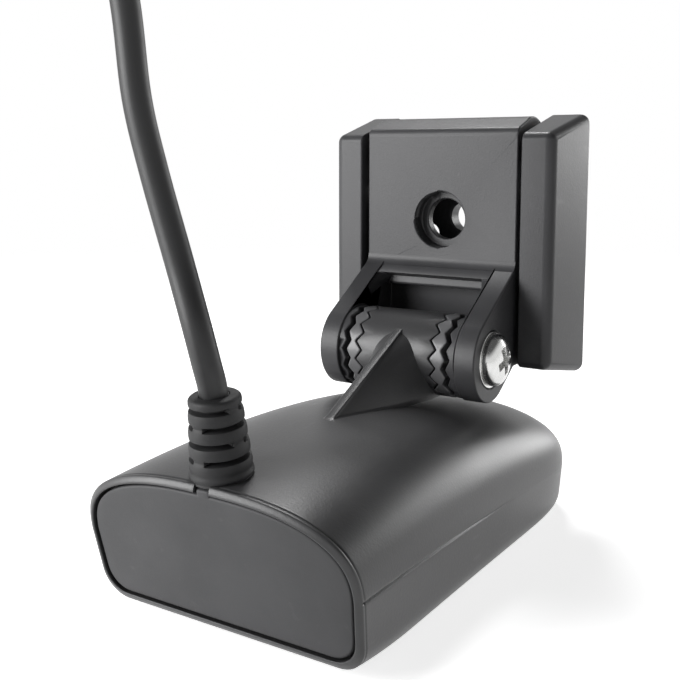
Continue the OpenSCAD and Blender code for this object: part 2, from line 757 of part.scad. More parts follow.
// Mounting bracket: two cored cheeks and a slotted web against the transom
module mounting_bracket() color(charcoal_light) difference() {
    core_in = cheek_in + core_wall;
    core_out = bracket_half - core_skin;
    core_h = (kick_z - head_r - foot_z - core_head) / 2;
    tall = 2 * bracket_h;
    bracket_block();
    translate([-cheek_in, front_y - cheek_lead - cut, foot_z - bracket_h / 2])
        cube([2 * cheek_in, web_front - front_y + cheek_lead + cut, tall]);
    translate([-cheek_in, front_y - cheek_lead - cut, web_top])
        cube([2 * cheek_in, bracket_d + cheek_lead + 2 * cut, tall]);
    for (side = [0, 1]) mirror([side, 0, 0]) {
        rod_x(kick_y, kick_z, trunnion_r + running_gap, cheek_in - cut, cheek_in + trunnion_len + face_gap);
        for (i = [0, 1])
            translate([core_in, front_y + core_front, foot_z + core_floor + i * (core_h + core_rib)])
                cube([core_out - core_in, bracket_d, core_h]);
        for (end = [-1, 1]) rod_y(slot_x, slot_z + end * slot_len / 2, slot_r, web_front - cut, back_y + cut);
        translate([slot_x - slot_r, web_front - cut, slot_z - slot_len / 2])
            cube([2 * slot_r, web_th + 2 * cut, slot_len]);
    }
    rod_y(0, lock_z, web_hole_r, web_front - cut, back_y + cut);
}

// Rings of a tube along a route, each square to the way from the point before to the point after
function tube_rings(route, r, sides) =
    let (last = len(route) - 1)
    [for (i = [0 : last])
        let (
            ahead = route[min(i + 1, last)] - route[max(i - 1, 0)],
            way = ahead / norm(ahead),
            across = cross(way, [1, 0, 0]) / norm(cross(way, [1, 0, 0])),
            up = cross(across, way)
        )
        [for (j = [0 : sides - 1]) let (a = 360 * j / sides) route[i] + r * (cos(a) * across + sin(a) * up)]];

// Cable: the stretch that isn't coiled, from the boot's top to the hank
module cable() color(charcoal_dark)
    skin(tube_rings(cable_route, cable_d / 2, cable_sides));

// A flat racetrack: two round ends joined by straight sides along Y
module racetrack(width, length) {
    for (end = [-1, 1]) translate([0, end * (length - width) / 2]) circle(width / 2, $fn = 64);
    square([width, length - width], center = true);
}

// Hank: the outer shape of the put-away turns, notched where its ties pass under and over
module cable_hank() color(charcoal_dark) translate([hank_x, hank_y, 0]) difference() {
    linear_extrude(hank_h) difference() {
        racetrack(hank_w, hank_len);
        racetrack(hank_w - 2 * hank_leg, hank_len - 2 * hank_leg);
    }
    for (side = [-1, 1]) translate([side * leg_x, 0, 0]) tie_band();
}

// One tie: a flat band round a leg of the hank
module tie_band() {
    translate([0, tie_w / 2, hank_h / 2]) rotate([90, 0, 0]) linear_extrude(tie_w) difference() {
        square([hank_leg, hank_h], center = true);
        square([hank_leg - 2 * tie_th, hank_h - 2 * tie_th], center = true);
    }
}

module hank_ties() color(charcoal_light) translate([hank_x, hank_y, 0])
    for (side = [-1, 1]) translate([side * leg_x, 0, 0]) tie_band();

// Short stretch of cable from the hank's top to the plug
module cable_lead_out() color(charcoal_dark)
    skin(tube_rings(lead_out_route, cable_d / 2, cable_sides));

// The plug's own axes: Z from the cable end to the open end
module plug_axes() {
    translate([plug_x, plug_y - plug_len, plug_z]) rotate([-90, 0, 0]) children();
}

// Plug shell: a round moulding with a socket round the pins
module plug_shell() color(charcoal_dark) plug_axes() difference() {
    cylinder(r = plug_r, h = plug_len);
    translate([0, 0, plug_len - plug_socket]) cylinder(r = plug_r - plug_wall, h = plug_socket + cut);
    translate([-plug_key / 2, plug_r - plug_wall - cut, plug_len - plug_socket])
        cube([plug_key, plug_wall / 2 + cut, plug_socket + cut]);
}

// Locking collar: a ribbed ring on the shell
module plug_collar() color(charcoal) plug_axes() translate([0, 0, collar_at]) difference() {
    cylinder(r = plug_collar_r, h = collar_len);
    translate([0, 0, -cut]) cylinder(r = plug_r + running_gap, h = plug_len);
    for (i = [0 : collar_ribs - 1]) rotate([0, 0, 360 * (i + 0.5) / collar_ribs])
        translate([plug_collar_r, 0, -cut]) cylinder(r = collar_rib_r, h = plug_len, $fn = 16);
}

// Insert: the disc that carries the pins at the bottom of the socket
module plug_insert() color(charcoal_light)
    plug_axes() translate([0, 0, plug_len - plug_socket]) difference() {
        cylinder(r = plug_r - plug_wall - set_gap, h = insert_h);
        plug_pin_places() translate([0, 0, -cut]) cylinder(r = pin_r, h = insert_h + 2 * cut, $fn = 24);
    }

module plug_pin_places() {
    children();
    for (i = [1 : plug_pin_count - 1]) rotate([0, 0, 360 * i / (plug_pin_count - 1)])
        translate([pin_ring_r, 0, 0]) children();
}

module plug_pins() color(brass) plug_axes() translate([0, 0, plug_len - plug_socket]) plug_pin_places() {
    cylinder(r = pin_r, h = pin_len, $fn = 24);
    translate([0, 0, pin_len]) sphere(pin_r, $fn = 24);
}

// Plug boot: a tapered strain relief behind the shell
module plug_boot() color(charcoal_dark) plug_axes() translate([0, 0, -plug_boot_len])
    cylinder(r1 = cable_d / 2 + 0.8, r2 = plug_r - 1, h = plug_boot_len);

housing();
end_cap();
potting();
line_crystal();
line_backing();
disc_crystal();
disc_backing();
temperature_bead();
element_leads();
cable_boot();
cable_tail();
ratchet_left();
ratchet_right();
pivot_arm();
pivot_bolt();
bolt_washer();
lock_nut();
mounting_bracket();
cable();
cable_hank();
cable_lead_out();
hank_ties();
plug_shell();
plug_collar();
plug_insert();
plug_pins();
plug_boot();
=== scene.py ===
"""Looks of a transom-mount sonar transducer, built round its packed solids.

X runs along the pivot bolt, Y from the aft end cap to the transom and Z up from the sounding face.
Surfaces are worked out in millimetres and put into meshes in metres.
"""

import json
from math import cos, pi, radians, sin, tan
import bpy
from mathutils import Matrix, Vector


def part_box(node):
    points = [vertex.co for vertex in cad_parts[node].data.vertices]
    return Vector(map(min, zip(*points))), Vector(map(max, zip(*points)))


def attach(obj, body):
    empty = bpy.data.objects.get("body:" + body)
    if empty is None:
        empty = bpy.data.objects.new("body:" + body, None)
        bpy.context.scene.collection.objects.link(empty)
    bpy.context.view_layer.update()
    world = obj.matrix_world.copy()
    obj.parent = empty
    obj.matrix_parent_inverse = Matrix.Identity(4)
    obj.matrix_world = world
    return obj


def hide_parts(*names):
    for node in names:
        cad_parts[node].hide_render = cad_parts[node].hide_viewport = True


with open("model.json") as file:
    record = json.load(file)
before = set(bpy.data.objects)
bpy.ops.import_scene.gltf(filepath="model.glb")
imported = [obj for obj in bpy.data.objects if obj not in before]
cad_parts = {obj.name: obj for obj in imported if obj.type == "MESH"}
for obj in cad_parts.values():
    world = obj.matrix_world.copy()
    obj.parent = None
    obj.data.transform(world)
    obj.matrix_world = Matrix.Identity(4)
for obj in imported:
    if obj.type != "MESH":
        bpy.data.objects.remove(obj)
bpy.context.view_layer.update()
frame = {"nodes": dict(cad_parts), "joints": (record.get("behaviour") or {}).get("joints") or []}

from types import SimpleNamespace

import bmesh
import bpy
import numpy as np
from bpy.props import FloatProperty, FloatVectorProperty, IntProperty, PointerProperty

bl_info = {
    "name": "Sonar transducer",
    "version": (1, 0, 0),
    "blender": (4, 5, 0),
    "location": "3D View > Sidebar > Transducer",
    "description": "Surfaces, finishes, cable and stage of a transom-mount sonar transducer",
    "category": "Object",
}

MM = 0.001
PIVOT = np.array(next(joint["pos_m"] for joint in frame["joints"] if joint["name"] == "tilt"))
MERGE = 1e-6


def box_mm(node):
    """Lowest and highest corner of a solid, in millimetres."""
    low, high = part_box(node)
    return np.array(low) / MM, np.array(high) / MM


def size(label, note, millimetres):
    """A length that a user may change."""
    return FloatProperty(name=label, description=note, default=millimetres * MM, unit="LENGTH", precision=5)


def angle(label, note, degrees):
    """An angle that a user may change."""
    return FloatProperty(name=label, description=note, default=radians(degrees), unit="ROTATION",
                         subtype="ANGLE")


def tint(label, note, colour):
    """A colour that a user may change."""
    return FloatVectorProperty(name=label, description=note, default=colour, subtype="COLOR", size=3,
                               min=0, max=1)


def number(label, note, default, least, most):
    """A count that a user may change."""
    return IntProperty(name=label, description=note, default=default, min=least, max=most)


def amount(label, note, default, unit="NONE"):
    """A strength, a power or a shift that a user may change."""
    return FloatProperty(name=label, description=note, default=default, unit=unit)


class PodSizes(bpy.types.PropertyGroup):
    """Sizes of the moulded pod and its end cap."""

    length: size("Length", "From the aft bottom edge to the nose", 114.6)
    sole: size("Sole", "Length of the sole", 105.2)
    width: size("Width", "Width at the seam", 66.4)
    height: size("Height", "Height of the crown at its highest point", 36)
    fall_aft: size("Fall aft", "How far the crown falls to the aft rim", 2.8)
    fall_fore: size("Fall forward", "How far the crown falls to the nose", 11)
    peak: size("Peak", "Distance of the crown's highest point from the aft edge", 40)
    seam: size("Seam", "Height of the widest line of the sides", 17.2)
    aft_rise: size("Aft rise", "Rise of the sole to its aft edge", 2.2)
    nose: size("Nose", "Height of the nose's tip", 12)
    bottom_radius: size("Bottom radius", "Radius along the bottom edges", 7)
    wall: size("Wall", "Wall of the housing", 3)
    rim: size("Rim", "Width of the rim round the end cap", 1.5)
    pocket: size("Pocket", "Depth of the pocket that takes the end cap", 3.4)
    cap_recess: size("Cap recess", "Depth of the cap's face below the rim", 0.4)
    cap_gap: size("Cap gap", "Gap round the end cap", 0.5)
    key_width: size("Key width", "Width of the key tab at the top of the cap", 3.2)
    side_lean: angle("Side lean", "Lean of the sides under the seam", 5)
    aft_rake: angle("Aft rake", "Rake of the aft face", 11.5)


class PivotSizes(bpy.types.PropertyGroup):
    """Sizes of the ratchet pivot and its fasteners."""

    knuckle_radius: size("Knuckle radius", "Radius of the barrel and the ratchets", 10.4)
    knuckle_half: size("Knuckle half", "Half width at the middle of the teeth", 10.4)
    ratchet_width: size("Ratchet width", "Width at the middle of the teeth", 2.9)
    tooth_depth: size("Tooth depth", "Depth of the teeth between knuckle and ratchets", 1.7)
    ear_tooth_depth: size("Ear tooth depth", "Depth of the teeth between ratchets and ears", 1.1)
    mesh_gap: size("Mesh gap", "Gap between the teeth of the knuckle and the ratchets", 0.4)
    bore: size("Bore", "Radius of the bolt's bore", 3.235)
    strut_reach: size("Strut reach", "Distance of the strut's foot aft of the pivot", 40)
    plate_front: size("Plate front", "Place of the pivot plate's front face", 37.6)
    plate_half: size("Plate half", "Half width of the pivot plate", 21.8)
    fold: size("Fold", "Height of the fold between the plate and the sloping face", 66)
    ear_radius: size("Ear radius", "Radius of the arms' ears", 10.7)
    fold_round: size("Fold round", "Radius of the fillet at the fold", 3)
    bar_front: size("Bar front", "Place of the front of the bar under the sloping face", 36.3)
    bar_middle: size("Bar middle", "Height of the bar's middle", 61.6)
    bar_tall: size("Bar tall", "Height of the bar's front", 3.4)
    bar_half: size("Bar half", "Half length of the bar between the arms", 14.6)
    strut_edge: size("Strut edge", "Radius of the strut's leading edge", 1.2)
    bolt_radius: size("Bolt radius", "Radius of the bolt's shank", 3.175)
    head_radius: size("Head radius", "Radius of the bolt's pan head", 6.4)
    head_height: size("Head height", "Height of the bolt's pan head", 3.6)
    teeth: number("Teeth", "Teeth on each toothed face", 14, 8, 24)
    tooth_turn: angle("Tooth turn", "Turn of the teeth round the bolt", -4)


class CableSizes(bpy.types.PropertyGroup):
    """Sizes of the cable, its boot and its hank."""

    diameter: size("Diameter", "Diameter of the cable", 5.6)
    length: size("Length", "Length of the whole cable", 6000)
    boot_height: size("Boot height", "Height of the boot over the crown", 16)
    boot_station: size("Boot station", "Distance of the boot from the aft edge", 6.4)
    boot_base: size("Boot base", "Radius of the boot at its collar", 6.1)
    boot_top: size("Boot top", "Radius of the boot at its top", 4.8)
    tie_width: size("Tie width", "Width of the hank's ties", 12)
    tie_thickness: size("Tie thickness", "Thickness of the hank's ties", 0.7)
    boot_lean: angle("Boot lean", "Lean of the boot towards the aft end", 6.9)
    columns: number("Columns", "Turns of the hank side by side", 4, 2, 6)
    layers: number("Layers", "Turns of the hank on each other", 5, 2, 8)


class Tints(bpy.types.PropertyGroup):
    """Colours of the finishes."""

    housing: tint("Housing", "Moulded pod", (0.056, 0.056, 0.058))
    cap: tint("End cap", "Plate in the aft rim", (0.078, 0.078, 0.081))
    arm: tint("Pivot arm", "Plate with the two arms", (0.055, 0.055, 0.058))
    bracket: tint("Bracket", "Block against the transom", (0.055, 0.055, 0.058))
    ratchet: tint("Ratchets", "Toothed rings", (0.13, 0.13, 0.134))
    rubber: tint("Rubber", "Boots", (0.015, 0.015, 0.016))
    jacket: tint("Jacket", "Cable", (0.02, 0.02, 0.021))
    strap: tint("Strap", "Ties of the hank", (0.02, 0.02, 0.022))
    plug: tint("Plug", "Shell and collar of the plug", (0.03, 0.03, 0.032))
    steel: tint("Steel", "Bolt, washer, nut and bead", (0.66, 0.66, 0.65))
    brass: tint("Brass", "Pins of the plug", (0.78, 0.58, 0.24))
    copper: tint("Copper", "Leads inside the pod", (0.72, 0.36, 0.2))
    resin: tint("Resin", "Potting", (0.02, 0.018, 0.016))
    ceramic: tint("Ceramic", "Crystals", (0.66, 0.6, 0.48))
    cork: tint("Cork", "Backing pads", (0.32, 0.18, 0.08))


class StageSettings(bpy.types.PropertyGroup):
    """Camera, lamps and floor."""

    place: FloatVectorProperty(name="Camera place", description="Where the camera stands", unit="LENGTH",
                               subtype="TRANSLATION", default=(0.11566, -0.19084, 0.09445), precision=5)
    pitch: angle("Pitch", "Turn of the camera from straight down", 82.95)
    yaw: angle("Yaw", "Turn of the camera about the upright", 32.38)
    lens: amount("Lens", "Focal length in millimetres", 51.04, "CAMERA")
    shift_x: amount("Shift X", "Sideways shift of the picture", -0.0088)
    shift_y: amount("Shift Y", "Upward shift of the picture", -0.096)
    ambient: amount("Ambient", "Strength of the light from all round", 0.15)
    key_power: amount("Key", "Power of the main lamp", 13.5, "POWER")
    side_power: amount("Side", "Power of the lamp behind the right side", 3, "POWER")
    top_power: amount("Top", "Power of the lamp overhead", 4.5, "POWER")
    overhead: amount("Overhead", "Share of the white that is left overhead", 0.12)
    floor: tint("Floor", "Plain floor", (0.92, 0.92, 0.92))
    floor_lift: amount("Floor lift", "White added to the floor that the camera sees", 0.74)


def in_mm(group):
    """The values of a group of sizes in millimetres; angles stay in radians and counts as they are."""
    values = {}
    for name, prop in group.bl_rna.properties.items():
        if prop.type == "FLOAT" and prop.unit == "LENGTH" and not prop.is_array:
            values[name] = getattr(group, name) / MM
        elif prop.type in ("FLOAT", "INT"):
            values[name] = getattr(group, name)
    return SimpleNamespace(**values)


# Meshes from grids of points

# How a grid joins up: its columns round about, and its last row to its first
PIPE, LOOP, SHEET = (True, False), (True, True), (False, False)


def grid_quads(rows, cols, around, looped):
    """Corners and UVs of a grid's quads; around joins the last column to the first, looped the last row."""
    down = np.arange(rows if looped else rows - 1)
    across = np.arange(cols if around else cols - 1)
    i, j = np.meshgrid(down, across, indexing="ij")
    k, m = (i + 1) % rows, (j + 1) % cols
    quads = np.stack([i * cols + j, i * cols + m, k * cols + m, k * cols + j], -1).reshape(-1, 4)
    u = np.stack([j, j + 1, j + 1, j], -1) / len(across)
    v = np.stack([i, i, i + 1, i + 1], -1) / len(down)
    return quads, np.stack([u, v], -1).reshape(-1, 2)


def mesh_of(name, *sheets):
    """A mesh from grids of points in millimetres, each given with the way it joins up."""
    points, quads, uvs, start = [], [], [], 0
    for grid, joins in sheets:
        rows, cols = grid.shape[:2]
        corners, uv = grid_quads(rows, cols, *joins)
        points.append(grid.reshape(-1, 3) * MM)
        quads.append(corners + start)
        uvs.append(uv)
        start += rows * cols
    points, quads, uvs = (np.concatenate(part) for part in (points, quads, uvs))
    mesh = bpy.data.meshes.new(name)
    mesh.vertices.add(len(points))
    mesh.vertices.foreach_set("co", points.astype(np.float32).ravel())
    mesh.loops.add(quads.size)
    mesh.loops.foreach_set("vertex_index", quads.astype(np.int32).ravel())
    mesh.polygons.add(len(quads))
    mesh.polygons.foreach_set("loop_start", np.arange(0, quads.size, 4, dtype=np.int32))
    mesh.update(calc_edges=True)
    mesh.uv_layers.new(name="UVMap").uv.foreach_set("vector", uvs.astype(np.float32).ravel())
    return closed(mesh)


def closed(mesh, sharp=38, flatten=False):
    """Merges doubles, drops faces of no area, points the faces outwards and marks the sharp edges."""
    bm = bmesh.new()
    bm.from_mesh(mesh)
    bmesh.ops.remove_doubles(bm, verts=bm.verts, dist=MERGE)
    bmesh.ops.dissolve_degenerate(bm, edges=bm.edges, dist=MERGE)
    if flatten:
        bmesh.ops.dissolve_limit(bm, verts=bm.verts, edges=bm.edges, angle_limit=radians(0.6))
    bmesh.ops.recalc_face_normals(bm, faces=bm.faces)
    bm.to_mesh(mesh)
    bm.free()
    mesh.shade_smooth()
    mesh.set_sharp_from_angle(angle=radians(sharp))
    return mesh


def linked(name, data):
    """A new object in the scene."""
    made = bpy.data.objects.new(name, data)
    bpy.context.scene.collection.objects.link(made)
    return made


def add_piece(name, mesh, body, slot, *nodes):
    """Shows a mesh as a piece that rides on a body, takes a slot's finish and stands for solids."""
    piece = linked(name, mesh)
    mesh.materials.clear()
    mesh.materials.append(finish_of(slot))
    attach(piece, body)
    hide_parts(*nodes)
    return piece


def add_surface(name, sheets, body, slot, *nodes):
    """Shows grids of points as one piece."""
    return add_piece(name, mesh_of(name, *sheets), body, slot, *nodes)


def bevelled_copy(name, node, width, body, slot, extra=None, bore=None):
    """A merged copy of a solid whose sharp edges get a small round, apart from those of a bore along X.

    The bore is given by its axis (Y, Z) and a radius. An extra mesh joins the copy without a round.
    """
    mesh = closed(frame["nodes"][node].data.copy(), sharp=30, flatten=True)
    sharp = np.zeros(len(mesh.edges), bool)
    mesh.attributes["sharp_edge"].data.foreach_get("value", sharp)
    if bore:
        points, ends = np.empty(3 * len(mesh.vertices), np.float32), np.empty(2 * len(mesh.edges), np.int32)
        mesh.vertices.foreach_get("co", points)
        mesh.edges.foreach_get("vertices", ends)
        middle = points.reshape(-1, 3)[ends.reshape(-1, 2)].mean(1) / MM
        sharp &= np.linalg.norm(middle[:, 1:] - bore[0], axis=1) > bore[1]
    weight = mesh.attributes.new("bevel_weight_edge", "FLOAT", "EDGE")
    weight.data.foreach_set("value", sharp.astype(np.float32))
    if extra:
        bm = bmesh.new()
        bm.from_mesh(mesh)
        bm.from_mesh(extra)
        bm.to_mesh(mesh)
        bm.free()
        bpy.data.meshes.remove(extra)
    piece = add_piece(name, mesh, body, slot, node)
    bevel = piece.modifiers.new("edge_round", "BEVEL")
    bevel.width = width * MM
    bevel.segments = 3
    bevel.limit_method = "WEIGHT"
    bevel.use_clamp_overlap = False
    even = piece.modifiers.new("even_faces", "WEIGHTED_NORMAL")
    even.weight = 100
    even.keep_sharp = True


def dress(look, *nodes):
    """Gives solids that stay as they are a finish."""
    for node in nodes:
        materials = frame["nodes"][node].data.materials
        materials.clear()
        materials.append(finish_of(look))


# Curves and profiles


def smooth_step(edge, width, value):
    """0 below edge - width/2 and 1 above edge + width/2, with a smooth rise between."""
    t = np.clip((value - edge) / width + 0.5, 0, 1)
    return t * t * (3 - 2 * t)


def plateau(value, half, width):
    """1 where |value| is under half and 0 outside it, with smooth flanks of a width."""
    return 1 - smooth_step(half, width, np.abs(value))


def clustered(base, places, offsets):
    """Grid lines at the base values and close beside each place, in order."""
    extra = (np.asarray(places)[:, None] + np.asarray(offsets)[None, :]).ravel()
    return np.unique(np.round(np.concatenate([base, extra]), 6))


def full_turn(count):
    """Angles of one whole turn, as a row."""
    return np.linspace(0, 2 * pi, count, endpoint=False)[None, :]


def stacked(*rows):
    """Rows of a grid under each other, each spread over all the columns."""
    rows = [np.atleast_2d(row) for row in rows]
    wide = max(row.shape[1] for row in rows)
    return np.concatenate([np.broadcast_to(row, (len(row), wide)) for row in rows])


def capped(rows):
    """Rows of points with a point added at each end, in the middle of the first and of the last row."""
    ends = rows[[0, -1]].mean(1, keepdims=True).repeat(rows.shape[1], 1)
    return np.concatenate([ends[:1], rows, ends[1:]])


def spline(points, steps):
    """A curve through points: each stretch is the Catmull-Rom cubic of four neighbours."""
    p = np.concatenate([[2 * points[0] - points[1]], points, [2 * points[-1] - points[-2]]])
    a, b, c, d = (p[i:len(p) - 3 + i, None, :] for i in range(4))
    t = np.linspace(0, 1, steps, endpoint=False)[None, :, None]
    curve = b + 0.5 * t * (c - a + t * (2 * a - 5 * b + 4 * c - d + t * (3 * (b - c) + d - a)))
    return np.concatenate([curve.reshape(-1, 3), points[-1:]])


def tube(path, radius, sides):
    """A round profile carried along a path: each ring is square to the path, its first spoke kept level."""
    way = np.gradient(path, axis=0)
    way /= np.linalg.norm(way, axis=1, keepdims=True)
    across = np.cross(way, np.where(np.abs(way[:, 2:]) < 0.9, [[0, 0, 1]], [[1, 0, 0]]))
    across = steady(across / np.linalg.norm(across, axis=1, keepdims=True), way)
    up = np.cross(across, way)
    a = full_turn(sides)[..., None]
    return capped(path[:, None] + radius * (np.cos(a) * across[:, None] + np.sin(a) * up[:, None]))


def steady(across, way):
    """Spokes that turn as little as they can: each is the last one less its part along the path."""
    steady_rows = [across[0]]
    for direction in way[1:]:
        spoke = steady_rows[-1] - direction * (steady_rows[-1] @ direction)
        steady_rows.append(spoke / np.linalg.norm(spoke))
    return np.array(steady_rows)


def turned(reach, radius, turn, axis):
    """Rings (reach, radius cos(turn), radius sin(turn)) along X, Y or Z, which are axes 0, 1 and 2."""
    rings = np.broadcast_arrays(reach, radius * np.cos(turn), radius * np.sin(turn))
    return np.roll(np.stack(rings, -1), axis, -1)


# The pod's form

PLAN_RUN, PLAN_POWER = 52, 5
ROOF_RUN, ROOF_POWER = 20, 2.4
KEEL_POWER = 2.2
SHOULDER_POWER = 2.6
AFT_RUN = 22
# The rim's bead, the groove behind it, the mould's parting line with the middle and the length of its
# fade as shares of the pod's length, and the notch for the cap's key
BEAD_WIDE, BEAD_DROP, BEAD_POWER = 1.2, 0.8, 1.5
GROOVE_DEEP, GROOVE_AT, GROOVE_WIDE = 0.16, 1.5, 0.2
PARTING_DEEP, PARTING_WIDE = 0.5, 0.24
FADE_AT, FADE_LONG = 0.45, 0.5
NOTCH_GAP, NOTCH_DEEP, NOTCH_FLANK = 0.2, 2.4, 0.12
LIP_ROUND, CAP_ROUND, KEY_ROUND = 0.25, 0.5, 0.4


def closing(share, power):
    """Width left at a share of the way along a closing end: (1 - share^power)^(1/power)."""
    return np.clip(1 - np.clip(share, 0, 1) ** power, 0, 1) ** (1 / power)


def crown(pod, y):
    """Height of the crown at a station: two parabolas that meet at the peak."""
    aft = pod.fall_aft * np.clip(1 - y / pod.peak, 0, None) ** 2
    fore = pod.fall_fore * (np.clip(y - pod.peak, 0, None) / (pod.length - pod.peak)) ** 2
    return pod.height - aft - fore


def raked(pod, x, y, z):
    """Section points in space: Y = aft edge + y - rake(y) z, where the rake fades towards the nose."""
    rake = tan(pod.aft_rake) * (1 - y / pod.length)
    return np.stack([x, y - pod.sole / 2 - rake * z, z + 0 * x], -1)


def station_of(pod, place, z):
    """Station y of a point (Y, z): Y = aft edge + y - t (1 - y / length) z solved for y."""
    drop = tan(pod.aft_rake) * z
    return (place + pod.sole / 2 + drop) / (1 + drop / pod.length)


def section_columns(pod, notch):
    """Shares and angles of a half section's columns, closer at the seam and at the notch for the key tab."""
    lean = pod.side_lean
    power = SHOULDER_POWER / 2
    by_height = np.arcsin(np.array([0, 0.004, 0.008, 0.013, 0.019, 0.028, 0.05, 0.09, 0.15]) ** power)
    by_angle = np.radians(np.linspace(6, 66, 31))
    at_notch = (notch + np.linspace(-0.15, 0.15, 5)) / (pod.width / 2)
    by_width = np.arccos(np.unique(np.concatenate([np.linspace(0, 0.5, 16), at_notch])) ** power)
    return SimpleNamespace(
        flat=np.linspace(0, 1, 9)[None, :-1],
        corner=np.linspace(-pi / 2, -lean, 11)[None, :],
        side=np.array([0.15, 0.35, 0.55, 0.75, 0.9, 0.94, 0.965, 0.98, 0.99])[None, :],
        shoulder=np.unique(np.round(np.concatenate([by_height, by_angle, by_width]), 7))[None, :],
    )


def half_section(pod, y, inset, columns):
    """Right half of the section at stations y, set in from the outside.

    A flat bottom, a corner arc, a straight leaning side up to the seam, and a superelliptic shoulder
    x = w cos(a)^(2/p), z = seam + h sin(a)^(2/p) up to the crown.
    """
    to_nose = pod.length - inset - y
    half = (pod.width / 2 - inset) * closing(1 - to_nose / PLAN_RUN, PLAN_POWER)
    seam = pod.seam + (pod.nose - pod.seam) * (y / pod.length) ** 2
    top = pod.nose + (crown(pod, y) - inset - pod.nose) * closing(1 - to_nose / ROOF_RUN, ROOF_POWER)
    keel = closing(1 - to_nose / (pod.length - pod.sole), KEEL_POWER)
    bottom = pod.nose - (pod.nose - inset) * keel + pod.aft_rise * np.clip(1 - y / AFT_RUN, 0, None) ** 2
    low = seam - bottom
    r = pod.bottom_radius * low / pod.seam
    lean = pod.side_lean
    corner_x = np.clip(half - r * cos(lean) - tan(lean) * (low - r + r * sin(lean)), 0, None)
    arc_x = corner_x + r * np.cos(columns.corner)
    arc_z = bottom + r + r * np.sin(columns.corner)
    side_x = arc_x[:, -1:] + (half - arc_x[:, -1:]) * columns.side
    side_z = arc_z[:, -1:] + (seam - arc_z[:, -1:]) * columns.side
    power = 2 / SHOULDER_POWER
    shoulder_x = half * np.clip(np.cos(columns.shoulder), 0, 1) ** power
    shoulder_z = seam + (top - seam) * np.sin(columns.shoulder) ** power
    x = np.concatenate([corner_x * columns.flat, arc_x, side_x, shoulder_x], 1)
    z = np.concatenate([bottom + 0 * columns.flat, arc_z, side_z, shoulder_z], 1)
    return x, z, seam


def whole_ring(x, z):
    """Both halves of a section, joined at the crown and at the bottom's middle."""
    return np.concatenate([x, -x[:, -2:0:-1]], 1), np.concatenate([z, z[:, -2:0:-1]], 1)


def rounded_rim(inset, depth, radius):
    """Stations and insets of a small outer round, from the side to the face."""
    a = np.linspace(0, pi / 2, 5)
    return depth + radius * (1 - np.sin(a)), inset + radius * (1 - np.cos(a))


def rim_bead():
    """Stations drop (1 - sin(a)^p) and insets wide (1 - cos(a)^p) of the bead, from the side to the face."""
    a = np.linspace(0, pi / 2, 9)
    return BEAD_DROP * (1 - np.sin(a) ** BEAD_POWER), BEAD_WIDE * (1 - np.abs(np.cos(a)) ** BEAD_POWER)


def pod_skin(pod):
    """The housing's skin as one grid: rings from the nose aft, round the rim, into the pocket and the cavity.

    The rim's stations move forward by the notch's depth where |x| is under its half width. The groove
    behind the bead and the parting line at the seam are depth times exp(-(distance / width)^2). The
    parting line fades towards the nose.
    """
    notch_half = pod.key_width / 2 + NOTCH_GAP
    columns = section_columns(pod, notch_half)
    tip = np.radians(np.linspace(57, 90, 26))
    nose = pod.length - PLAN_RUN + PLAN_RUN * np.sin(tip) ** (2 / PLAN_POWER)
    outer = np.concatenate([nose[::-1], np.linspace(nose[0], 3, 60)[1:], np.linspace(2.6, 1.1, 16)])
    edge_y, edge_inset = rim_bead()
    lip_y, lip_inset = rounded_rim(0, 0, LIP_ROUND)
    pocket = np.linspace(0.6, pod.pocket, 8)
    cavity = pod.pocket + (pod.length - pod.wall - pod.pocket) * np.sin(np.linspace(0, pi / 2, 30))
    y = np.concatenate([outer, edge_y, lip_y[::-1], pocket, cavity])
    groove = GROOVE_DEEP * np.exp(-((outer - GROOVE_AT) / GROOVE_WIDE) ** 2)
    inset = np.concatenate([groove, edge_inset, pod.rim - lip_inset[::-1], pod.rim + 0 * pocket,
                            pod.wall + 0 * cavity])
    x, z, seam = half_section(pod, y[:, None], inset[:, None], columns)
    outside = (np.arange(len(y)) < len(outer))[:, None]
    fade = 1 - smooth_step(FADE_AT * pod.length, FADE_LONG * pod.length, y[:, None])
    x = x - PARTING_DEEP * outside * fade * np.exp(-((z - seam) / PARTING_WIDE) ** 2)
    x, z = whole_ring(x, z)
    notch = NOTCH_DEEP * plateau(x, notch_half, NOTCH_FLANK) * (z > pod.seam)
    stations = np.where(y[:, None] < pod.pocket + 0.01, np.maximum(y[:, None], notch), y[:, None])
    return raked(pod, x, stations, z)


def flat_rings(pod, y, inset, columns, shares):
    """Rings that shrink to the middle of a section, in its own plane."""
    x, z, _ = half_section(pod, np.full((1, 1), y), np.full((1, 1), inset), columns)
    x, z = whole_ring(x, z)
    middle = (z.min() + z.max()) / 2
    shares = shares[:, None]
    return raked(pod, x * shares, y + 0 * shares, middle + (z - middle) * shares)


def cap_plate(pod):
    """The end cap: a flat face, a rounded edge, a side wall and a flat back, all in the raked planes."""
    columns = section_columns(pod, pod.key_width / 2)
    inset = pod.rim + pod.cap_gap
    edge_y, edge_inset = rounded_rim(inset, pod.cap_recess, CAP_ROUND)
    back = pod.pocket - 0.2
    y = np.concatenate([edge_y[::-1], [back]])[:, None]
    x, z, _ = half_section(pod, y, np.concatenate([edge_inset[::-1], [inset]])[:, None], columns)
    x, z = whole_ring(x, z)
    face = flat_rings(pod, pod.cap_recess, edge_inset[-1], columns, np.linspace(0, 1, 14))
    rear = flat_rings(pod, back, inset, columns, np.linspace(1, 0, 4))
    return np.concatenate([face[:-1], raked(pod, x, y, z), rear[1:]])


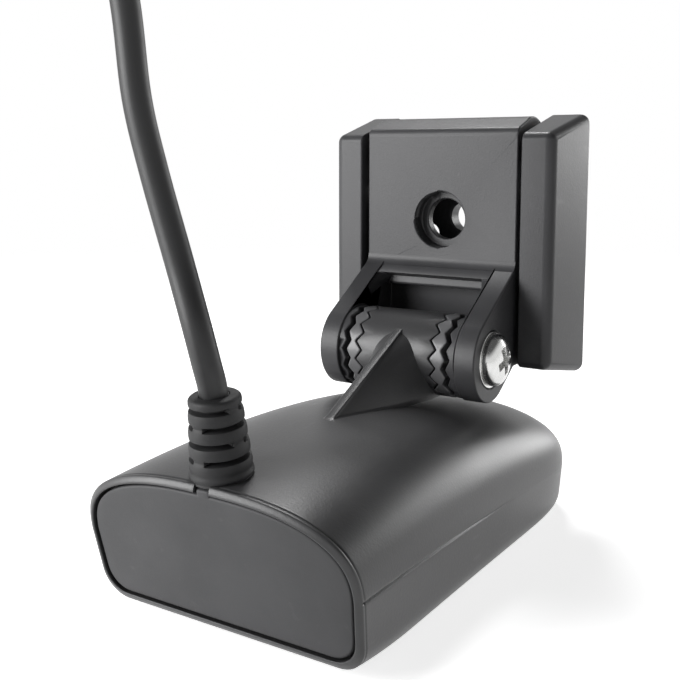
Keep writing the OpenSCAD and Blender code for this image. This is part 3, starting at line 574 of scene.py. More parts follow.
def key_tab(pod):
    """The key at the top of the cap, a box with round edges in the raked plane."""
    top = crown(pod, 0) / cos(pod.aft_rake)
    low = [-pod.key_width / 2, pod.cap_recess + 0.04, top - 3 * (pod.rim + pod.cap_gap)]
    high = [pod.key_width / 2, pod.cap_recess + 1.4, top - 1]
    return leaned(soft_box(low, high, KEY_ROUND), [0, -pod.sole / 2, 0], pod.aft_rake)


def soft_box(low, high, radius):
    """A box with round edges: each direction of a sphere, moved out to its corner's centre."""
    low, high = np.asarray(low, float), np.asarray(high, float)
    half = (high - low) / 2
    up = np.radians(np.array([-90, -67, -45, -22, -1e-4, 1e-4, 22, 45, 67, 90]))[:, None]
    quarter = np.array([1e-4, 22, 45, 67, 90 - 1e-4])
    turn = np.radians(np.concatenate([quarter + 90 * i for i in range(4)]))[None, :]
    way = np.stack([np.cos(up) * np.cos(turn), np.cos(up) * np.sin(turn), np.sin(up) + 0 * turn], -1)
    return capped((low + high) / 2 + np.sign(way) * (half - radius) + radius * way)


def leaned(grid, place, lean):
    """A grid turned about X by a lean, then moved to a place."""
    x, y, z = np.moveaxis(grid, -1, 0)
    return np.stack([x, y * cos(lean) - z * sin(lean), y * sin(lean) + z * cos(lean)], -1) + np.asarray(place)


# The pivot's form

TOOTH_TIP, TOOTH_SIDES, RING_EDGE = 0.985, 16, 0.35
STRUT_LIFT, STRUT_FILLET, STRUT_TALL, STRUT_SUNK = radians(142), 0.5, 17.5, (-1.2, -0.4)
# Heights between which the strut's root moves forward along the knuckle, and how far
ROOT_LOW, ROOT_RISE, ROOT_SHIFT = 34.4, 9.4, 4.16
BAR_DEEP, BAR_ROUND, BAR_LEAN = 3.4, 0.7, radians(-9)
# A point inside the moulding at the fold, seen from the fold, where the fillet's section closes
FOLD_INSIDE = np.array([0.7, -0.9])
# The bolt's cross recess, its thread, the edge under its head and the taper of its point
CROSS_TURN, CROSS_HALF, CROSS_REACH, CROSS_DEEP = radians(20), 0.75, 3.3, 2.3
THREAD_LONG, THREAD_PITCH, THREAD_DEEP = 7, 1.27, 0.45
HEAD_EDGE, POINT_TAPER, POINT_LONG = 0.08, 0.7, 0.5
BOLT_SIDES = 144


def tooth_wave(pivot, turn):
    """1 at the knuckle's crests and -1 in its valleys: a triangle wave with slightly rounded tips."""
    first = pivot.tooth_turn - pi / 2
    return np.arcsin(TOOTH_TIP * np.cos(pivot.teeth * (turn - first))) / np.arcsin(TOOTH_TIP)


def toothed_ring(pivot, left, right, axis):
    """A ring round the bolt whose side faces may be toothed: left and right give X by wave and radius share.

    The rows run out over the left face, round its edge, along the barrel, round the right edge, in over
    the right face and back through the bore.
    """
    turn = full_turn(TOOTH_SIDES * pivot.teeth)
    wave = tooth_wave(pivot, turn)
    a = np.linspace(0, pi / 2, 5)[1:, None]
    out = np.linspace(pivot.bore + 0.3, pivot.knuckle_radius - RING_EDGE, 6)[:, None]
    face_r = stacked(pivot.bore, out, pivot.knuckle_radius - RING_EDGE * (1 - np.sin(a)))
    face_in = stacked(0.3, 0 * out, RING_EDGE * (1 - np.cos(a)))
    share = face_r / pivot.knuckle_radius
    left_x = left(wave, share) + face_in
    right_x = right(wave, share) - face_in
    along = np.linspace(0, 1, 7)[1:-1, None]
    barrel = left_x[-1:] * (1 - along) + right_x[-1:] * along
    x = np.concatenate([left_x, barrel, right_x[::-1]])
    r = np.concatenate([face_r, pivot.knuckle_radius + 0 * along, face_r[::-1]])
    return turned(x, r, turn, 0) + [0, *axis]


def knuckle_barrel(pivot, axis):
    """The knuckle: X = half - gap/2 + depth/2 times the wave and the radius share, mirrored on the left."""
    def right(wave, share):
        return pivot.knuckle_half - pivot.mesh_gap / 2 + pivot.tooth_depth / 2 * wave * share

    return toothed_ring(pivot, lambda wave, share: -right(wave, share), right, axis)


def ratchet_ring(pivot, side, axis):
    """A ratchet: one face meshes with the knuckle, the other faces the ear with the wave turned over."""
    def inner(wave, share):
        return pivot.knuckle_half + pivot.mesh_gap / 2 + pivot.tooth_depth / 2 * wave * share

    def outer(wave, share):
        return pivot.knuckle_half + pivot.ratchet_width - pivot.ear_tooth_depth / 2 * wave * share

    return toothed_ring(pivot, inner, outer, axis) * [side, 1, 1]


def strut_blade(pod, pivot, axis):
    """The strut: level sections with a blunt leading edge on a raked line and flat flanks up to the knuckle.

    Half width = edge (1 - (1 - a)^4)^(1/4) over the edge and (root - edge) s along the flank, with a
    fillet of radius f at the crown, f - sqrt(f^2 - (f - h)^2) at a height h over it.
    """
    root = pivot.knuckle_half - pivot.tooth_depth / 2 - 0.3
    edge, fillet = pivot.strut_edge, STRUT_FILLET
    foot_y = axis[0] - pivot.strut_reach
    ground = crown(pod, station_of(pod, foot_y, pod.height))
    reach = pivot.knuckle_radius + 0.3
    top_y, top_z = axis[0] + reach * cos(STRUT_LIFT), axis[1] + reach * sin(STRUT_LIFT)
    at_fillet = fillet * np.linspace(0, 1, 7) ** 1.5
    rise = np.concatenate([STRUT_SUNK, at_fillet, np.linspace(0.9, STRUT_TALL, 26)])[:, None]
    height = ground + rise
    tip = foot_y + rise * (top_y - foot_y) / (top_z - ground)
    along = np.clip((height - ROOT_LOW) / ROOT_RISE, 0, 1)
    root_y = axis[0] - 0.8 * pivot.knuckle_radius + ROOT_SHIFT * along
    q = np.concatenate([np.linspace(0, 1, 9) ** 2 * 0.08, np.linspace(0.08, 1, 18)[1:]])[None, :]
    y = tip + (axis[0] - tip) * q
    ahead = np.clip((y - tip) / edge, 0, 1)
    spread = np.clip((y - tip - edge) / np.maximum(root_y - tip - edge, 1), 0, 1)
    half = edge * (1 - (1 - ahead) ** 4) ** 0.25 + (root - edge) * spread
    over = np.clip(height - crown(pod, station_of(pod, y, height)), 0, fillet)
    flare = fillet - np.sqrt(fillet ** 2 - (fillet - over) ** 2)
    half = half + flare * np.clip(ahead * 2, 0, 1)
    y = y - flare * (1 - ahead)
    x = np.concatenate([half, -half[:, -1:0:-1]], 1)
    y = np.concatenate([y, y[:, -1:0:-1]], 1)
    return capped(np.stack([x, y, height + 0 * x], -1))


def fold_fillet(pivot, axis):
    """The hollow fillet between the plate and the sloping face, an arc round a centre in front of the fold.

    The sloping face runs from the fold along the tangent to the ears. The arc turns from the plate's
    face to the slope's, and the section closes at a point inside the moulding.
    """
    fold = np.array([pivot.plate_front, pivot.fold])
    away = fold - axis
    lean = np.arctan2(away[1], away[0]) + np.arccos(pivot.ear_radius / np.linalg.norm(away))
    slope = axis + pivot.ear_radius * np.array([cos(lean), sin(lean)]) - fold
    a = np.linspace(0, np.arctan2(slope[0], -slope[1]), 13)
    r = pivot.fold_round
    centre = fold + [-r, r * tan(-a[-1] / 2)]
    arc = np.stack([centre[0] + r * np.cos(a), centre[1] + r * np.sin(a)], -1)
    ring = np.concatenate([arc, [fold + FOLD_INSIDE]])
    half = pivot.plate_half - 0.1
    rows = [np.column_stack([np.full(len(ring), x), ring]) for x in (-half, half)]
    lids = [np.repeat(row[-1:], len(ring), 0) for row in rows]
    return np.stack([lids[0], *rows, lids[1]])


def cross_bar(pivot):
    """The bar between the arms: a box with round edges whose front leans back at its top."""
    corner = np.array([pivot.bar_half, BAR_DEEP, pivot.bar_tall / 2])
    bar = soft_box(corner * [-1, 0, -1], corner, BAR_ROUND)
    return leaned(bar, [0, pivot.bar_front, pivot.bar_middle], BAR_LEAN)


def bolt_surface(pivot, low, high, axis):
    """The bolt: a pan head with a cross recess, a shank and a threaded end, as rows round the bolt's axis.

    The head is R cos(a)^0.7 wide at H (1/4 + 3/4 sin(a)^0.9), less the recess, which is the larger of
    two crossed plateaus. The thread is a triangle wave of reach / pitch + turn.
    """
    turn = full_turn(BOLT_SIDES)
    head_x = high[0] - pivot.head_height
    a = np.concatenate([np.linspace(90, 20, 44), np.linspace(17, 0, 7)])[:, None]
    r = pivot.head_radius * np.clip(np.cos(np.radians(a)), 0, 1) ** 0.7
    dome = head_x + pivot.head_height * (0.25 + 0.75 * np.clip(np.sin(np.radians(a)), 0, 1) ** 0.9)
    recess = 0 * r * turn
    for slant in (CROSS_TURN, CROSS_TURN + pi / 2):
        along = r * np.cos(turn - slant)
        across = r * np.sin(turn - slant)
        wing = plateau(across, CROSS_HALF + 0.1 * np.abs(along) / 3, 0.26) * plateau(along, CROSS_REACH, 0.35)
        recess = np.maximum(recess, wing)
    top_x = dome - CROSS_DEEP * recess * np.clip(1.25 - r / 6, 0, 1)
    shank = np.linspace(head_x, low[0] + THREAD_LONG, 12)[:, None]
    thread = np.linspace(low[0] + THREAD_LONG, low[0] + POINT_LONG, 60)[:, None]
    ridge = np.abs(((thread / THREAD_PITCH + turn / (2 * pi)) % 1) - 0.5) * 2
    runs_out = smooth_step(low[0] + THREAD_LONG - 0.6, 0.8, thread)
    thread_r = pivot.bolt_radius - THREAD_DEEP * ridge * (1 - runs_out)
    x = stacked(top_x, head_x + HEAD_EDGE, head_x, shank, thread, low[0], low[0])
    r = stacked(r, pivot.head_radius, pivot.head_radius - HEAD_EDGE, pivot.bolt_radius + 0 * shank, thread_r,
                pivot.bolt_radius - POINT_TAPER, 0)
    return turned(x, r, turn, 0) + [0, *axis]


# The boot's and the cable's form

FLEX_LEVELS = 4
FLEX_SLOT = 0.9
FLEX_SWEEP = radians(150)
FLEX_FACING = radians(-95)
COLLAR = 1.5
# Wall round the cable under the slots, play round the cable, the rounds of the rings and the top, how far
# the rings stand past the taper, and how deep the boot's foot goes into the crown
BOOT_CORE, BOOT_PLAY, BOOT_BULGE, BOOT_CREST = 0.7, 0.05, 0.4, 0.9
BOOT_PROUD, BOOT_SUNK, MOUTH_EDGE = 0.25, 0.4, 0.2


def boot_axis(pod, cable):
    """Foot of the boot on the crown, and the way that it points."""
    z = crown(pod, cable.boot_station)
    foot = raked(pod, np.zeros(()), np.asarray(cable.boot_station), z)
    return foot, np.array([0, -sin(cable.boot_lean), cos(cable.boot_lean)])


def boot_surface(cable):
    """The boot in its own axes: bulged rings on a taper, cut to the core by slots that turn by a quarter.

    Radius = taper + bulge, less (radius - core) times a plateau in height and a plateau in turn.
    """
    pitch = (cable.boot_height - COLLAR) / (FLEX_LEVELS + 0.5)
    levels = COLLAR + pitch * (np.arange(FLEX_LEVELS) + 0.85)
    core = cable.diameter / 2 + BOOT_CORE
    hole = cable.diameter / 2 + BOOT_PLAY
    crest_foot = cable.boot_height - BOOT_CREST
    edges = np.concatenate([levels - FLEX_SLOT / 2, levels + FLEX_SLOT / 2])
    h = clustered(np.linspace(0, crest_foot, 46), edges, [-0.12, -0.06, 0, 0.06, 0.12])
    h = h[(h >= 0) & (h <= crest_foot)]
    middles = FLEX_FACING + pi / 2 * (np.arange(FLEX_LEVELS) + 1)
    ends = np.concatenate([middles - FLEX_SWEEP / 2, middles + FLEX_SWEEP / 2])
    ends = np.concatenate([ends, ends + pi]) % (2 * pi)
    turn = clustered(np.linspace(0, 2 * pi, 96, endpoint=False), ends, np.radians([-2, -1, 0, 1, 2]))
    turn = turn[(turn >= 0) & (turn < 2 * pi - 1e-4)][None, :]
    bounds = np.concatenate([[0, COLLAR], levels, [cable.boot_height + 0.6]])
    ring = np.clip(np.searchsorted(bounds, h, side="right") - 1, 0, len(bounds) - 2)
    u = (h - bounds[ring]) / (bounds[ring + 1] - bounds[ring])
    bulge = BOOT_BULGE * (np.sqrt(np.clip(1 - (2 * u - 1) ** 2, 0, 1)) - 1)
    taper = cable.boot_base + (cable.boot_top - cable.boot_base) * h / cable.boot_height
    radius = taper + BOOT_PROUD + bulge
    cut = 0 * h[:, None] * turn
    for level, middle in zip(levels, middles):
        away = np.abs((turn - middle + pi / 2) % pi - pi / 2)
        tall = plateau(h - level, FLEX_SLOT / 2, 0.16)[:, None]
        cut = np.maximum(cut, plateau(away, FLEX_SWEEP / 2, radians(3)) * tall)
    wall = radius[:, None] - (radius[:, None] - core) * cut
    a = np.linspace(0, pi / 2, 7)[1:, None]
    top_r = radius[-1] - BOOT_CREST + BOOT_CREST * np.cos(a)
    top_h = crest_foot + BOOT_CREST * np.sin(a)
    mouth = cable.boot_height
    rows_h = stacked(h[:, None], top_h, mouth, mouth - MOUTH_EDGE, -BOOT_SUNK, -BOOT_SUNK)
    rows_r = stacked(wall, top_r, hole + MOUTH_EDGE, hole, hole, cable.boot_base)
    return turned(rows_h, rows_r, turn, 2)


# The free stretch of the cable past the boot, in millimetres: up out of sight, over an arch, down to the hank
CABLE_ROUTE = np.array([
    [-2.6, -56.4, 63.3], [-7.2, -55.7, 74.9], [-12, -56.8, 91.7], [-14.5, -58.2, 105.2], [-16, -59, 122.4],
    [-17, -62, 137], [-19, -69.5, 148], [-22, -81, 153], [-25.5, -94, 150], [-28.5, -105, 140],
    [-31, -113, 126], [-33, -118, 109], [-34.5, -121.5, 91], [-36, -124.5, 72], [-37.8, -127.5, 54],
    [-40, -131, 37], [-42.4, -136, 22], [-44.2, -143, 10.5], [-44.6, -151, 4.4], [-43.6, -160, 2.8],
    [-41.2, -169, 2.8],
])
# The first stretch over the boot, and how far the cable leans to one side of the boot's axis at its end
CABLE_STRAIGHT = 6
CABLE_LEAN = np.array([-0.65, -0.55, 0])
# Sides of the cable, steps of a stretch of the route, points on each run and bend of a turn of the hank,
# and half the length that rises over a tie
CABLE_SIDES = 14
ROUTE_STEPS = 8
TURN_POINTS = (8, 20, 8, 20)
TIE_REACH = 11
# Where the lead-out starts, and the middle and length of its widening and of its climb, in parts of a turn
LEAD_START = 0.72
WIDENS_AT, WIDENS_LONG = 1.55, 0.9
CLIMBS_AT, CLIMBS_LONG = 1.36, 1.28


def hank_plan():
    """Middle of the hank, half its width and half the length of its straight runs, from its solid."""
    low, high = box_mm("cable_hank")
    half = (high[0] - low[0]) / 2
    return (low + high) / 2, half, (high[1] - low[1]) / 2 - half


def on_track(cable, phase, radius, z):
    """Points of a racetrack: over phases 0 to 4, a run one way, a bend, a run back and a bend.

    x = radius cos(sweep), y = straight leg + radius sin(sweep) from the hank's middle, and the strands rise
    over the ties by their thickness times exp(-(y / reach)^4).
    """
    centre, _, straight = hank_plan()
    leg = np.interp(phase, np.arange(5), [1, -1, -1, 1, 1])
    sweep = pi * np.interp(phase, np.arange(5), [1, 1, 2, 2, 3])
    y = straight * leg + radius * np.sin(sweep)
    lift = cable.tie_thickness * np.exp(-(y / TIE_REACH) ** 4)
    return np.stack([centre[0] + radius * np.cos(sweep), centre[1] + y, z + lift], -1)


def hank_turns(cable):
    """Centre line of the hank's turns: racetracks whose column and layer change in the near end.

    The turns lie a diameter apart. The order of columns runs inwards on one layer and outwards on the
    next.
    """
    d = cable.diameter
    _, half, _ = hank_plan()
    count = cable.columns * cable.layers
    place = np.arange(count + 1)
    layer = np.minimum(place // cable.columns, cable.layers - 1)
    step = place % cable.columns
    column = np.where(layer % 2 == 0, step, cable.columns - 1 - step)
    phase = np.concatenate([part + np.arange(n) / n for part, n in enumerate(TURN_POINTS)])
    whole = (np.arange(count)[:, None] * 4 + phase[None, :]).ravel()
    whole = whole[(whole > 0.45) & (whole < 4 * (count - 1) + LEAD_START - 0.02)]
    turn = (whole // 4).astype(int)
    phase = whole % 4
    change = smooth_step(3.5, 1, phase)
    radius = half - d * (0.5 + column[turn] + (column[turn + 1] - column[turn]) * change)
    z = d * (0.5 + layer[turn] + (layer[turn + 1] - layer[turn]) * change)
    return on_track(cable, phase, radius, z)


def lead_out(cable, end):
    """The last bend, from the innermost turn to the plug.

    Its radius widens to the plug's line and its height rises to the plug's, both as smooth steps along it.
    """
    centre, half, _ = hank_plan()
    inner = half - cable.diameter * (cable.columns - 0.5)
    top = cable.diameter * (cable.layers - 0.5)
    phase = np.concatenate([np.linspace(LEAD_START, 1, 5, endpoint=False), np.linspace(1, 2, 32)])
    radius = inner + (end[0] - centre[0] - inner) * smooth_step(WIDENS_AT, WIDENS_LONG, phase)
    z = top + (end[2] - top) * smooth_step(CLIMBS_AT, CLIMBS_LONG, phase)
    ahead = end + np.array([[0, -9, 0], [0, -4, 0], [0, 0.5, 0]])
    return np.concatenate([on_track(cable, phase, radius, z), ahead])


def cable_path(pod, cable):
    """The whole centre line: out of the boot, along the route, through the hank and up to the plug's boot."""
    foot, way = boot_axis(pod, cable)
    top = foot + cable.boot_height * way
    reach, lean = np.array([[-2], [2], [CABLE_STRAIGHT]]), np.array([[0], [0.3], [1]])
    start = top + reach * way + lean * CABLE_LEAN
    turns = hank_turns(cable)
    low, high = box_mm("plug_boot")
    end = np.array([(low[0] + high[0]) / 2, low[1], (low[2] + high[2]) / 2])
    # The route's last two stretches only steer its end, because the hank's own points take over there
    free = spline(np.concatenate([start, CABLE_ROUTE, turns[:3]]), ROUTE_STEPS)[:-2 * ROUTE_STEPS - 1]
    return np.concatenate([free, turns[1:], lead_out(cable, end)]), top


def tie_bands(cable):
    """Flat bands round the hank's legs: a round-cornered loop carried by a flat section with soft edges."""
    middle, wide_half, _ = hank_plan()
    leg_half = cable.columns * cable.diameter / 2
    thick = cable.tie_thickness
    half = np.array([leg_half, cable.layers * cable.diameter / 2]) + thick / 2
    corner = cable.diameter / 2
    turn = np.radians(np.concatenate([np.linspace(90 * i + 1, 90 * i + 89, 9) for i in range(4)]))[None, :]
    way = np.stack([np.cos(turn), np.sin(turn)], -1)
    loop = np.sign(way) * (half - corner) + way * corner
    around = np.radians(np.linspace(0, 360, 16, endpoint=False))[:, None]
    out = thick / 2 * np.sign(np.sin(around)) * np.abs(np.sin(around)) ** 0.5
    wide = cable.tie_width / 2 * np.sign(np.cos(around)) * np.abs(np.cos(around)) ** 0.25
    band = loop + out[..., None] * way
    sheets = []
    for side in (-1, 1):
        x = middle[0] + side * (wide_half - leg_half) + band[..., 0]
        y = middle[1] + wide + 0 * turn
        z = thick + cable.layers * cable.diameter / 2 + band[..., 1]
        sheets.append((np.stack([x, y, z], -1), LOOP))
    return sheets


# The plug's form

SHELL_WALL, PLUG_SIDES = 1.4, 64
RELIEF_RINGS, RELIEF_DEEP, RELIEF_LIP = 7, 0.45, 0.8
COLLAR_RIBS, COLLAR_DEEP, COLLAR_SIDES = 16, 0.7, 256


def shell_profile(low, high):
    """Outside of the shell from its back to its open end, then down the socket to the insert."""
    r, length = (high[0] - low[0]) / 2, high[1] - low[1]
    inner, floor = r - SHELL_WALL, box_mm("plug_insert")[0][1] - low[1]
    return [(0, 0), (0, r - 0.6), (0.2, r - 0.2), (0.6, r), (length - 0.4, r), (length - 0.1, r - 0.15),
            (length, r - 0.4), (length, inner + 0.3), (length - 0.3, inner), (floor, inner), (floor, 0)]


def relief_profile(cable):
    """A taper with soft ring grooves, from the cable to the shell."""
    low, high = box_mm("plug_boot")
    length, wide = high[1] - low[1], (high[0] - low[0]) / 2
    s = np.linspace(0, 1, 70)
    slim = cable.diameter / 2 + RELIEF_LIP
    groove = np.exp(-(((s * RELIEF_RINGS) % 1 - 0.5) / 0.16) ** 2) * plateau(s - 0.5, 0.36, 0.02)
    r = slim + (wide - slim) * s - RELIEF_DEEP * groove
    return [(-length, cable.diameter / 2), *np.stack([(s - 1) * length, r], -1), (0, 0)]


def collar_ring(place):
    """A ring whose outside is scalloped by grooves along the plug's axis, depth times cos(ribs turn)^1.5."""
    low, high = box_mm("plug_collar")
    wide, start, length = (high[0] - low[0]) / 2, low[1] - place[1], high[1] - low[1]
    inner = box_mm("plug_shell")[1][0] - place[0] + 0.05
    turn = full_turn(COLLAR_SIDES)
    groove = COLLAR_DEEP * np.clip(np.cos(COLLAR_RIBS * turn + pi), 0, 1) ** 1.5
    near = np.array([0, 0, 0.25, 0.6, 0.3 * length])
    s = np.concatenate([near, length - near[::-1]])[:, None]
    outer = np.array([-9, -0.6, -0.15, 0, 0, 0, 0, -0.15, -0.6, -9])[:, None]
    cut = np.array([0, 0.6, 0.9, 1, 1, 1, 1, 0.9, 0.6, 0])[:, None]
    return turned(start + s, np.maximum(wide + outer - groove * cut, inner), turn, 1) + place


# Shader expressions


class Value:
    """A shader socket that takes part in Python expressions; each operator adds a Math node."""

    def __init__(self, shade, socket):
        self.shade, self.socket = shade, socket

    def maths(self, operation, first, second):
        return self.shade.node("ShaderNodeMath", {"operation": operation}, [first, second])

    def __add__(self, other):
        return self.maths("ADD", self, other)

    def __sub__(self, other):
        return self.maths("SUBTRACT", self, other)

    def __mul__(self, other):
        return self.maths("MULTIPLY", self, other)

    def __rsub__(self, other):
        return self.maths("SUBTRACT", other, self)

    __radd__ = __add__
    __rmul__ = __mul__


class Shade:
    def __init__(self, owner):
        self.owner = owner
        owner.use_nodes = True
        self.tree = owner.node_tree

    def node(self, kind, settings=None, inputs=(), out=0):
        """A node of a type: its settings are set first, then the values or links of its sockets."""
        made = self.tree.nodes.new(kind)
        for key, value in (settings or {}).items():
            if key == "stops":
                self.set_stops(made.color_ramp, value)
            else:
                setattr(made, key, value)
        pairs = inputs.items() if isinstance(inputs, dict) else enumerate(inputs)
        for key, value in pairs:
            self.feed(made.inputs[key], value)
        return Value(self, made.outputs[out])

    def feed(self, socket, value):
        """Links a value to a socket, or sets the socket to it."""
        if isinstance(value, Value):
            self.tree.links.new(value.socket, socket)
        else:
            socket.default_value = value

    def set_stops(self, ramp, stops):
        """Sets a ramp's stops, each a place and a grey level."""
        while len(ramp.elements) < len(stops):
            ramp.elements.new(0.5)
        for element, (place, grey) in zip(ramp.elements, stops):
            element.position = place
            element.color = (grey, grey, grey, 1)

    def place(self):
        """Object coordinates, in metres."""
        return self.node("ShaderNodeTexCoord", out="Object")

    def stretched(self, scale):
        """Object coordinates scaled by axis."""
        return self.node("ShaderNodeMapping", inputs={"Vector": self.place(), "Scale": scale})

    def noise(self, scale, detail=3.0, at=None):
        """Fractal noise between 0 and 1, at so many waves to the metre."""
        inputs = {"Vector": at or self.place(), "Scale": scale, "Detail": detail}
        return self.node("ShaderNodeTexNoise", inputs=inputs)

    def speckle(self, scale, out="Distance"):
        """Distance to the nearest of scattered points, or its colour."""
        return self.node("ShaderNodeTexVoronoi", inputs={"Vector": self.place(), "Scale": scale}, out=out)

    def level(self, value, *stops):
        """A value carried through stops of (place, level)."""
        return self.node("ShaderNodeValToRGB", {"stops": stops}, [value])

    def seen(self):
        """1 for what the camera sees, also in mirrors and through glass, and 0 for all other light."""
        camera, glossy, through = (self.node("ShaderNodeLightPath", out=f"Is {kind} Ray")
                                   for kind in ("Camera", "Glossy", "Transmission"))
        return self.node("ShaderNodeMath", {"operation": "MINIMUM"}, [camera + glossy + through, 1.0])

    def mix(self, share, first, second):
        """A colour between two colours."""
        first, second = (c if isinstance(c, Value) else (*c, 1) for c in (first, second))
        return self.node("ShaderNodeMix", {"data_type": "RGBA"}, {0: share, 6: first, 7: second}, out=2)

    def finish(self, colour, roughness, height=None, depth=0.0, strength=1.0, **constants):
        """Feeds the shader: what varies is linked, what is the same all over is set on its own socket."""
        values = {"Base Color": colour, "Roughness": roughness}
        values.update({key.replace("_", " "): value for key, value in constants.items()})
        if height is not None:
            values["Normal"] = self.node("ShaderNodeBump", inputs={
                "Strength": strength, "Distance": depth, "Height": height}, out="Normal")
        shader = self.tree.nodes["Principled BSDF"]
        for key, value in values.items():
            self.feed(shader.inputs[key], value)
        return self.owner


def scaled(colour, factor):
    """A colour made lighter or darker."""
    return tuple(min(1.0, channel * factor) for channel in colour)


def moulded_plastic(shade, colour, roughness, gloss):
    """Moulded plastic: spark-eroded grain, faint flow clouds and a few pale scuffs."""
    clouds = shade.noise(55, 4.0)
    fine = shade.noise(2600, 2.0)
    scuff = shade.level(shade.noise(420, 6.0, shade.stretched((1, 0.25, 1))), (0.64, 0), (0.74, 1))
    body = shade.mix(shade.level(clouds, (0.35, 0), (0.65, 1)), scaled(colour, 0.88), scaled(colour, 1.12))
    base = shade.mix(scuff * 0.10, body, scaled(colour, 1.9))
    rough = roughness + (clouds - 0.5) * 0.14 + (fine - 0.5) * 0.12 - scuff * 0.05
    height = fine + shade.speckle(1500) * 0.6
    return shade.finish(base, rough, height, 0.00005, 0.35, Specular_IOR_Level=gloss)


def rubber(shade, colour, roughness):
    """Moulded rubber: a close, dull surface with a bloom that lightens it in patches."""
    bloom = shade.level(shade.noise(160, 5.0), (0.4, 0), (0.75, 1))
    base = shade.mix(bloom * 0.5, colour, scaled(colour, 1.7))
    fine = shade.noise(3200, 2.0)
    return shade.finish(base, roughness + bloom * 0.12 + (fine - 0.5) * 0.1, fine, 0.00004, 0.3)


def cable_jacket(shade, colour, roughness):
    """Extruded jacket: fine lines along the cable from its UV map, and faint handling marks."""
    uv = shade.node("ShaderNodeUVMap")
    along = shade.node("ShaderNodeMapping", inputs={"Vector": uv, "Scale": (60, 30, 1)})
    lines = shade.noise(1, 2.0, along)
    marks = shade.level(shade.noise(240, 5.0), (0.5, 0), (0.8, 1))
    base = shade.mix(marks * 0.5, colour, scaled(colour, 1.6))
    return shade.finish(base, roughness + lines * 0.12 + marks * 0.1, lines, 0.00003, 0.3)


def bright_steel(shade, colour, roughness):
    """Bright stainless: turned lines round the bolt and a few fine scratches."""
    rings = shade.noise(900, 3.0, shade.stretched((6, 1, 1)))
    scratch = shade.level(shade.noise(500, 5.0, shade.stretched((1, 8, 0.6))), (0.6, 0), (0.7, 1))
    base = shade.mix(rings, scaled(colour, 0.9), scaled(colour, 1.06))
    rough = roughness + rings * 0.1 + scratch * 0.12
    return shade.finish(base, rough, rings + scratch, 0.00001, 0.25, Metallic=1.0)


def plated_metal(shade, colour, roughness):
    """Plated or drawn metal with a soft tarnish."""
    tarnish = shade.level(shade.noise(900, 4.0), (0.4, 0), (0.7, 1))
    base = shade.mix(tarnish * 0.6, colour, scaled(colour, 0.72))
    return shade.finish(base, roughness + tarnish * 0.15, tarnish, 0.00001, 0.2, Metallic=1.0)


def woven_strap(shade, colour):
    """Woven strap: crossing threads as two bands of waves."""
    threads = {"Vector": shade.place(), "Scale": 330.0}
    warp, weft = (shade.node("ShaderNodeTexWave", {"bands_direction": way}, threads) for way in "YZ")
    weave = warp * weft
    base = shade.mix(weave, scaled(colour, 0.7), scaled(colour, 2.2))
    return shade.finish(base, 0.92 - weave * 0.12, weave, 0.0002, 0.7)


def cast_resin(shade, colour):
    """Cast resin: dark and glossy, with small bubbles."""
    bubbles = shade.level(shade.speckle(700), (0.05, 1), (0.12, 0))
    base = shade.mix(bubbles, colour, scaled(colour, 3))
    return shade.finish(base, 0.22 + bubbles * 0.3, bubbles, 0.0001, 0.4)


def fired_ceramic(shade, colour):
    """Ground ceramic: a fine even grain with faint grinding marks."""
    grain = shade.noise(3000, 3.0)
    marks = shade.noise(700, 3.0, shade.stretched((1, 12, 1)))
    base = shade.mix(grain, scaled(colour, 0.92), scaled(colour, 1.06))
    return shade.finish(base, 0.55 + marks * 0.15, marks + grain * 0.5, 0.00003, 0.3)


def pressed_cork(shade, colour):
    """Pressed cork: dark and pale granules."""
    tone = shade.node("ShaderNodeSeparateColor", inputs=[shade.speckle(900, "Color")])
    base = shade.mix(tone, scaled(colour, 0.5), scaled(colour, 1.5))
    return shade.finish(base, 0.85 + tone * 0.1, shade.speckle(900), 0.0002, 0.5)


# The maker of each finish, the tint that it takes and its other values
LOOKS = {
    "housing_plastic": (moulded_plastic, "housing", 0.38, 0.5),
    "cap_plastic": (moulded_plastic, "cap", 0.55, 0.3),
    "arm_plastic": (moulded_plastic, "arm", 0.42, 0.32),
    "bracket_plastic": (moulded_plastic, "bracket", 0.42, 0.32),
    "ratchet_plastic": (moulded_plastic, "ratchet", 0.32, 0.5),
    "plug_plastic": (moulded_plastic, "plug", 0.5, 0.4),
    "insert_plastic": (moulded_plastic, "cap", 0.5, 0.4),
    "boot_rubber": (rubber, "rubber", 0.6),
    "cable_jacket": (cable_jacket, "jacket", 0.42),
    "tie_strap": (woven_strap, "strap"),
    "stainless": (bright_steel, "steel", 0.16),
    "pin_metal": (plated_metal, "brass", 0.25),
    "lead_wire": (plated_metal, "copper", 0.3),
    "potting_resin": (cast_resin, "resin"),
    "piezo_ceramic": (fired_ceramic, "ceramic"),
    "backing_cork": (pressed_cork, "cork"),
}
FINISHES = {}


def finish_of(look):
    """A finish of the table, made once."""
    if look not in FINISHES:
        make, name, *values = LOOKS[look]
        colour = tuple(getattr(bpy.context.scene.transducer_tints, name))
        FINISHES[look] = make(Shade(bpy.data.materials.new(look)), colour, *values)
    return FINISHES[look]


# Operators


def given(context):
    """The scene's sizes in millimetres, and the pivot's axis as (Y, Z)."""
    scene = context.scene
    return SimpleNamespace(
        pod=in_mm(scene.transducer_pod),
        pivot=in_mm(scene.transducer_pivot),
        cable=in_mm(scene.transducer_cable),
        axis=PIVOT[1:] / MM,
    )


